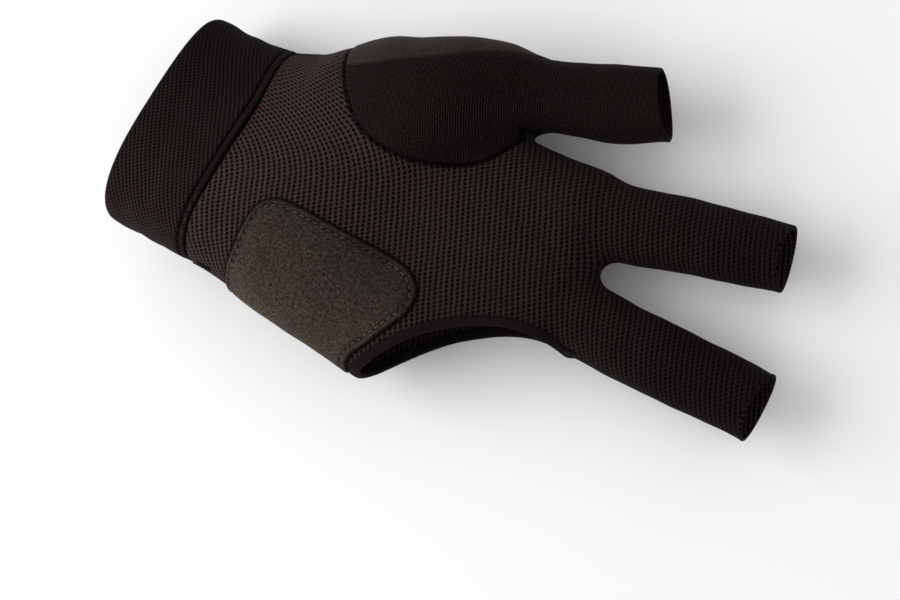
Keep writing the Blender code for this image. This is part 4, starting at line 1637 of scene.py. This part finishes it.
@dataclass
class Cuff:
    """Wrist sleeve of fine mesh, folded at its open edge round a flat elastic band.

    The sleeve is a strip carried round the wrist. Its section runs from the seam down the
    outside, round the fold and back up the inside. The sections ride on the same rounded
    rectangle as the hand, at a level above or below it.
    """

    shop: Workshop
    sides: int = 360
    length: float = 24.0
    hem_share: float = 14 / 23
    gap: float = 1.9
    cloth: float = 0.55
    rise: float = 0.25
    tuck: float = 0.75
    strip: float = 40.0
    turns: tuple[tuple[float, ...], tuple[float, ...]] = ((-0.054, 0, 0), (-0.066, 0, 0))

    def edge_x(self, angle: Array) -> Array:
        """Where the fold is, round the wrist. It is furthest out on the thumb side."""
        return -76.2 - 1.3 * np.sin(angle) - 0.9 * np.cos(angle) - 0.3 * np.sin(2 * angle)

    def seam_x(self, angle: Array) -> Array:
        """Where the middle of the seam is, round the wrist."""
        side = self.on_wrist(angle, np.full_like(angle, -52.0), np.zeros_like(angle))[:, 1]
        return self.shop.form.wrist_seam(side)

    def on_wrist(self, angle: Array, x: Array, level: Array) -> Array:
        """Points on the rounded rectangle of the wrist.

        Args:
            angle: Angle round the section. 0 is the middle of the palm side and a quarter
                turn is the thumb side.
            x: Place along the wrist.
            level: Height above the skin.

        Returns:
            The points, held above the flat that the glove rests on.
        """
        limb = self.shop.form.palm
        middle, half, centre, tall = limb.section(x)
        power = 2 / limb.roundness
        sine, cosine = np.sin(angle), np.cos(angle)
        across = np.sign(sine) * np.abs(sine) ** power
        y = middle + (half + level) * across
        z = centre + (tall + level) * np.sign(cosine) * np.abs(cosine) ** power
        rise = limb.leaning(x) * across / (2 * tall)
        z = (z - rise * (centre - tall)) / (1 - rise)
        z = -smooth_min(-z, np.minimum(level, 0), self.shop.form.flatness)
        return np.column_stack([x, y, z])

    def section(self) -> Array:
        """Folded strip as rows of (share of the way to the fold, past it, level)."""
        outside, inside = self.rise, -self.gap
        down = np.concatenate([[0, 0.009, 0.018, 0.028, 0.042], np.linspace(0.06, 1, 24)])
        skin = outside - self.tuck * (1 - np.minimum(down * self.length, 1)) ** 2
        rows = [(t, 0.0, level) for t, level in zip(down, skin)]
        turn = np.linspace(0, math.pi, 11)[1:-1]
        middle, radius = (outside + inside) / 2, (outside - inside) / 2
        rows += [(1.0, radius * math.sin(a) * 1.1, middle + radius * math.cos(a)) for a in turn]
        back = np.linspace(1, 1 - self.hem_share, 14)
        rows += [(t, 0.0, inside) for t in back]
        rows += [(t, 0.0, inside + self.cloth) for t in back[::-1]]
        small = radius - self.cloth
        rows += [(1.0, small * math.sin(a) * 1.1, middle - small * math.cos(a)) for a in turn]
        rows += [(t, 0.0, level - self.cloth) for t, level in zip(down[::-1], skin[::-1])]
        return np.array(rows)

    def ring(self, share: float, level: float, shift: float = 0.0) -> tuple[Array, Array]:
        """A loop round the wrist and its outward directions."""
        angle = np.linspace(0, 2 * math.pi, self.sides, endpoint=False)
        seam = self.seam_x(angle)
        x = seam + (self.edge_x(angle) - seam) * share + shift
        path = self.on_wrist(angle, x, np.full_like(x, level))
        path = even_loop(path, 720, 60)
        return path, unit(gradient(self.shop.form.palm.distance, path) * [0, 1, 1])

    def sleeve(self) -> bpy.types.Object:
        """The folded sleeve."""
        section = self.section()
        turn = np.linspace(-math.pi, math.pi, self.sides + 1)
        angle = np.repeat(turn, len(section))
        share, past, level = np.tile(section, (len(turn), 1)).T
        edge, seam = self.edge_x(angle), self.seam_x(angle) - 1.0
        x = seam + (edge - seam) * share - past
        slack = 0.22 * np.sin(5 * angle + 0.4 * x) * np.sin(0.35 * x + 1)
        slack *= smooth_step(share, 0.05, 0.4)
        points = self.on_wrist(angle, x, level + slack + 0.5 * smooth_step(share, 0.55, 1.0))
        corners = grid_faces(len(turn), len(section), False)
        step = np.linalg.norm(np.diff(section * [self.length, 1, 1], axis=0), axis=1)
        run = np.concatenate([[0], np.cumsum(step)])
        first = points.reshape(len(turn), len(section), 3)[:, 10]
        length = np.concatenate([[0], np.cumsum(np.linalg.norm(np.diff(first, axis=0), axis=1))])
        around, down = np.meshgrid(length, run, indexing="ij")
        pattern = np.stack([-down, around], axis=-1).reshape(-1, 2)[corners.ravel()] * MM
        whole = self.sides * len(section)
        # Painted shade in the seam groove where the sleeve starts.
        piece = build_object(
            "cuff_sleeve_mesh", points[:whole], corners % whole, self.shop.finish(CUFF_KNIT), pattern,
            shade=ridge(share[:whole] * self.length, 0.4),
        )
        log.info("cuff: cut %.1f x %.0f mm", length[-1], self.strip)
        return piece

    def build(self) -> None:
        """Makes the sleeve, the elastic in its fold, and the taped seam."""
        bend = Bend(Body.HAND, Body.CUFF, *self.turns)
        self.shop.enter_bending(self.sleeve(), CUFF_KNIT, ("cuff_sleeve",), bend)
        shop = self.shop
        path, normals = self.ring(0.72, self.rise - self.cloth - 0.5)
        band = swept_object(
            "cuff_elastic_band", path, normals, oval(4.6, 0.42, 20, 6.0), True, shop.finish(BAND_ELASTIC)
        )
        shop.enter(band, BAND_ELASTIC, ("cuff_elastic",), Body.CUFF)
        path, normals = self.ring(0.0, -0.3)
        tape = swept_object(
            "cuff_seam_tape_band", path, normals, oval(0.84, 0.4, 20, 3.6), True, shop.finish(SEAM_TAPE)
        )
        shop.enter(tape, SEAM_TAPE, ("cuff_seam_tape",), Body.HAND)
        stitch = Stitch(length=1.4, radius=0.15, pitch=1.6, lean=0)
        for name, node, shift, body in (
            ("cuff_seam_stitches_distal", "cuff_seam_thread_distal", 1.05, Body.HAND),
            ("cuff_seam_stitches_proximal", "cuff_seam_thread_proximal", -1.05, Body.CUFF),
        ):
            path, normals = self.ring(0.0, -0.75, shift)
            row = stitch.row(name, path, normals, True, shop.finish(DARK_THREAD))
            shop.enter(row, DARK_THREAD, (node,), body)
        self.bar_tack()

    def bar_tack(self) -> None:
        """Dense block of thread that locks the side seam just short of the cuff."""
        form = self.shop.form
        x = np.linspace(-45.6, -41.4, 15)
        path = project(np.column_stack([x, np.full(15, -36.0), 25.0 - 0.05 * x]), form.body, 12)
        normals = unit(gradient(form.sewn, path))
        stitch = Stitch(length=2.4, radius=0.3, pitch=0.3, lean=84, sink=-0.15)
        piece = stitch.row("cuff_bar_tack_threads", path, normals, False, self.shop.finish(DARK_THREAD))
        self.shop.enter(piece, DARK_THREAD, ("cuff_bar_tack",), Body.HAND)


@dataclass
class Opening:
    """Folded tape round the ring and little finger opening, sewn along its inner edge."""

    shop: Workshop
    width: float = 2.9
    thickness: float = 2.0

    def loop(self) -> tuple[Array, Array, Array]:
        """The edge of the opening, with the outward and the inward directions."""
        form = self.shop.form
        net = surface_net(form.body, np.array([-2.0, -47.0, -2.0]), np.array([66.0, 0.0, 34.0]), 1.0)
        points = net.crossing(form.opening(net.points))
        points = points[(points[:, 0] > 0) & (points[:, 0] < 62)]
        points = ring_order(points, np.array([1.0, 0, 0]), np.array([0, 0, 1.0]))
        path = even_loop(points, 480, 30)
        normals = unit(gradient(form.body, path))
        side = unit(np.cross(tangents(path, True), normals))
        if form.opening(path + side).mean() < form.opening(path - side).mean():
            path, normals = path[::-1], normals[::-1]
            side = unit(np.cross(tangents(path, True), normals))
        return path, normals, side

    def build(self) -> None:
        """Makes the binding and its stitches."""
        shop = self.shop
        path, normals, side = self.loop()
        profile = oval(self.width / 2, self.thickness / 2, 20, 3.2) + [self.width / 2 - 0.5, -0.45]
        tape = swept_object("opening_edge_binding", path, normals, profile, True, shop.finish(EDGE_TAPE))
        shop.enter(tape, EDGE_TAPE, ("opening_binding",), Body.HAND)
        stitch = Stitch(length=1.3, radius=0.17, pitch=1.9, lean=4)
        line = path + side * (self.width - 1.0) + normals * 0.5
        row = stitch.row("opening_edge_thread", line, normals, True, shop.finish(DARK_THREAD))
        shop.enter(row, DARK_THREAD, ("opening_binding_thread",), Body.HAND)
        self.end_tack()

    def end_tack(self) -> None:
        """Small knob of thread where the binding's ends meet, beside the middle finger."""
        form = self.shop.form
        x = np.linspace(56.2, 58.2, 8)
        path = project(np.column_stack([x, np.full(8, -12.0), np.full(8, 18.5)]), form.body, 8)
        normals = unit(gradient(form.body, path))
        stitch = Stitch(length=2.0, radius=0.36, pitch=0.3, lean=86, sink=-0.3)
        piece = stitch.row("opening_end_tack", path, normals, False, self.shop.finish(DARK_THREAD))
        self.shop.enter(piece, DARK_THREAD, (), Body.HAND)


@dataclass(frozen=True)
class Lip:
    """Rolled edge of one stall's open end."""

    name: str
    node: str
    limb: Limb
    mouth: Field
    body: Body
    finish: Finish
    length: float
    radius: float = 0.62

    def build(self, shop: Workshop) -> None:
        """Sweeps the roll round the end of the stall."""
        form = shop.form
        centre = self.limb.place(np.array([self.length]), np.zeros(1), np.array([14.0]))[0]
        box = np.array([15.0, 15.0, 16.0])
        net = surface_net(form.body, centre - box, centre + box, 1.0)
        points = net.crossing(self.mouth(net.points) - 0.35)
        points = points[np.abs(self.limb.distance(points)) < 1.5]
        left = np.array([*self.limb.left, 0.0])
        path = even_loop(ring_order(points, left, np.array([0, 0, 1.0])), 240, 16)
        normals = unit(gradient(form.body, path))
        path = path - normals * 0.35
        profile = oval(self.radius, self.radius * 0.85, 12)
        piece = swept_object(self.name, path, normals, profile, True, shop.finish(self.finish))
        shop.enter(piece, self.finish, (self.node,), self.body)


@dataclass
class SeamTrims:
    """The small work along the seams: side ridge, strip topstitch and rolled ends."""

    shop: Workshop

    def ridge(self) -> None:
        """Ridge of the turned side seam beside the heel."""
        form = self.shop.form
        x = np.arange(-49.5, 8.0, 0.5)
        start = np.column_stack([x, -38.0 - 2.0 * smooth_step(x, -40, -10), 18.0 - 0.05 * x])
        path = even_line(project(start, form.body, 14), 0.5)
        normals = unit(gradient(form.body, path))
        profile = oval(0.55, 0.45, 10)
        piece = swept_object("side_seam_cord", path, normals, profile, False, self.shop.finish(EDGE_TAPE))
        self.shop.enter(piece, EDGE_TAPE, ("side_seam_ridge",), Body.HAND)

    def topstitch(self) -> None:
        """Dashed thread along the inner edge of the thumb's suede strip."""
        form = self.shop.form
        line = smooth_curve(
            np.array([0, 1.0, 2.0, 3.0, 4.0]),
            np.array([(-28.0, 33.0), (-22.2, 36.0), (-9.8, 43.2), (-3.2, 47.5), (3.0, 51.8)]),
            np.linspace(0, 4, 60),
        )
        path = dropped(form.sewn, even_line(np.column_stack([line, line[:, 0] * 0]), 0.6)[:, :2])
        normals = unit(gradient(form.sewn, path))
        stitch = Stitch(length=1.4, radius=0.17, pitch=2.2, lean=3, sink=-0.02)
        piece = stitch.row("thumb_strip_thread", path, normals, False, self.shop.finish(GREY_THREAD))
        self.shop.enter(piece, GREY_THREAD, (), Body.HAND)

    def build(self) -> None:
        """Makes all of them."""
        form = self.shop.form
        self.ridge()
        self.topstitch()
        for stall, limb, mouth, body, finish, end in (
            ("index", form.index, form.index_mouth, Body.INDEX_TIP, PALM_KNIT, form.index_end),
            ("middle", form.middle, form.middle_mouth, Body.MIDDLE_TIP, PALM_KNIT, form.middle_end),
            ("thumb", form.thumb, form.thumb_mouth, Body.THUMB, THUMB_JERSEY, form.thumb_end),
        ):
            names = (f"{stall}_end_roll", f"{stall}_end_hem")
            Lip(*names, limb, mouth, body, finish, end).build(self.shop)


# ---- the studio ---------------------------------------------------------------------
@dataclass(frozen=True)
class SoftLight:
    """A square area light that looks at the glove."""

    name: str
    place: tuple[float, float, float]
    size: float
    power: float
    tint: tuple[float, float, float] = (1.0, 1.0, 1.0)

    def build(self, target: Vector) -> None:
        """Adds the light."""
        data = bpy.data.lights.new(self.name, "AREA")
        data.size, data.energy, data.color = self.size, self.power, self.tint
        lamp = bpy.data.objects.new(self.name, data)
        lamp.location = self.place
        lamp.rotation_euler = (target - Vector(self.place)).to_track_quat("-Z", "Y").to_euler()
        bpy.context.scene.collection.objects.link(lamp)


@dataclass(frozen=True)
class Studio:
    """Camera, floor and soft light."""

    target: tuple[float, float, float] = (0.020, -0.012, 0.014)
    distance: float = 0.574
    tilt: float = 18.0
    roll: float = 27.0
    lens: float = 85.0
    fill: float = 0.70
    key: SoftLight = SoftLight("key", (-0.85, -0.40, 0.62), 1.1, 12.0)

    def camera(self) -> None:
        """Looks down at the palm, tilted towards the fingers and rolled."""
        tilt, roll = math.radians(self.tilt), math.radians(self.roll)
        back = Vector((math.sin(tilt), 0, math.cos(tilt)))
        across = Vector((math.cos(tilt), 0, -math.sin(tilt)))
        right = across * math.cos(roll) + Vector((0, 1, 0)) * math.sin(roll)
        above = back.cross(right)
        data = bpy.data.cameras.new("camera")
        data.lens, data.sensor_width = self.lens, 36.0
        data.clip_start, data.clip_end = 0.01, 20.0
        eye = bpy.data.objects.new("camera", data)
        turn = Matrix((right, above, back)).transposed().to_4x4()
        eye.matrix_world = Matrix.Translation(Vector(self.target) + back * self.distance) @ turn
        bpy.context.scene.collection.objects.link(eye)
        bpy.context.scene.camera = eye

    def floor(self) -> None:
        """A plain pale floor just under the glove."""
        low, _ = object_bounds()
        half, z = 3.0, low.z - 0.0001
        data = bpy.data.meshes.new("floor")
        corners = [(-half, -half, z), (half, -half, z), (half, half, z), (-half, half, z)]
        data.from_pydata(corners, [], [(0, 1, 2, 3)])
        paint = bpy.data.materials.new("floor_paint")
        paint.use_nodes = True
        shader = paint.node_tree.nodes["Principled BSDF"]
        shader.inputs["Base Color"].default_value = (0.92, 0.92, 0.92, 1)
        shader.inputs["Roughness"].default_value = 0.9
        shader.inputs["Specular IOR Level"].default_value = 0.1
        data.materials.append(paint)
        plane = bpy.data.objects.new("floor", data)
        bpy.context.scene.collection.objects.link(plane)
        plane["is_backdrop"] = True

    def lights(self) -> None:
        """White surroundings, and one broad light from the wrist."""
        world = bpy.data.worlds.new("studio")
        world.use_nodes = True
        world.node_tree.nodes["Background"].inputs["Color"].default_value = (1, 1, 1, 1)
        world.node_tree.nodes["Background"].inputs["Strength"].default_value = self.fill
        bpy.context.scene.world = world
        self.key.build(Vector(self.target))
        bpy.context.scene.view_settings.view_transform = "Standard"

    def build(self) -> None:
        """Sets all of it up."""
        self.floor()
        self.lights()


def main() -> None:
    """Builds the glove and its studio."""
    logging.basicConfig(level=logging.INFO, format="%(name)s: %(message)s")
    studio = Studio()
    studio.camera()
    shop = Workshop(GloveForm(), Weaves())
    Skin(shop).build()
    HeelPad(shop).build()
    Cuff(shop).build()
    Opening(shop).build()
    SeamTrims(shop).build()
    studio.build()


if __name__ == "__main__":
    main()
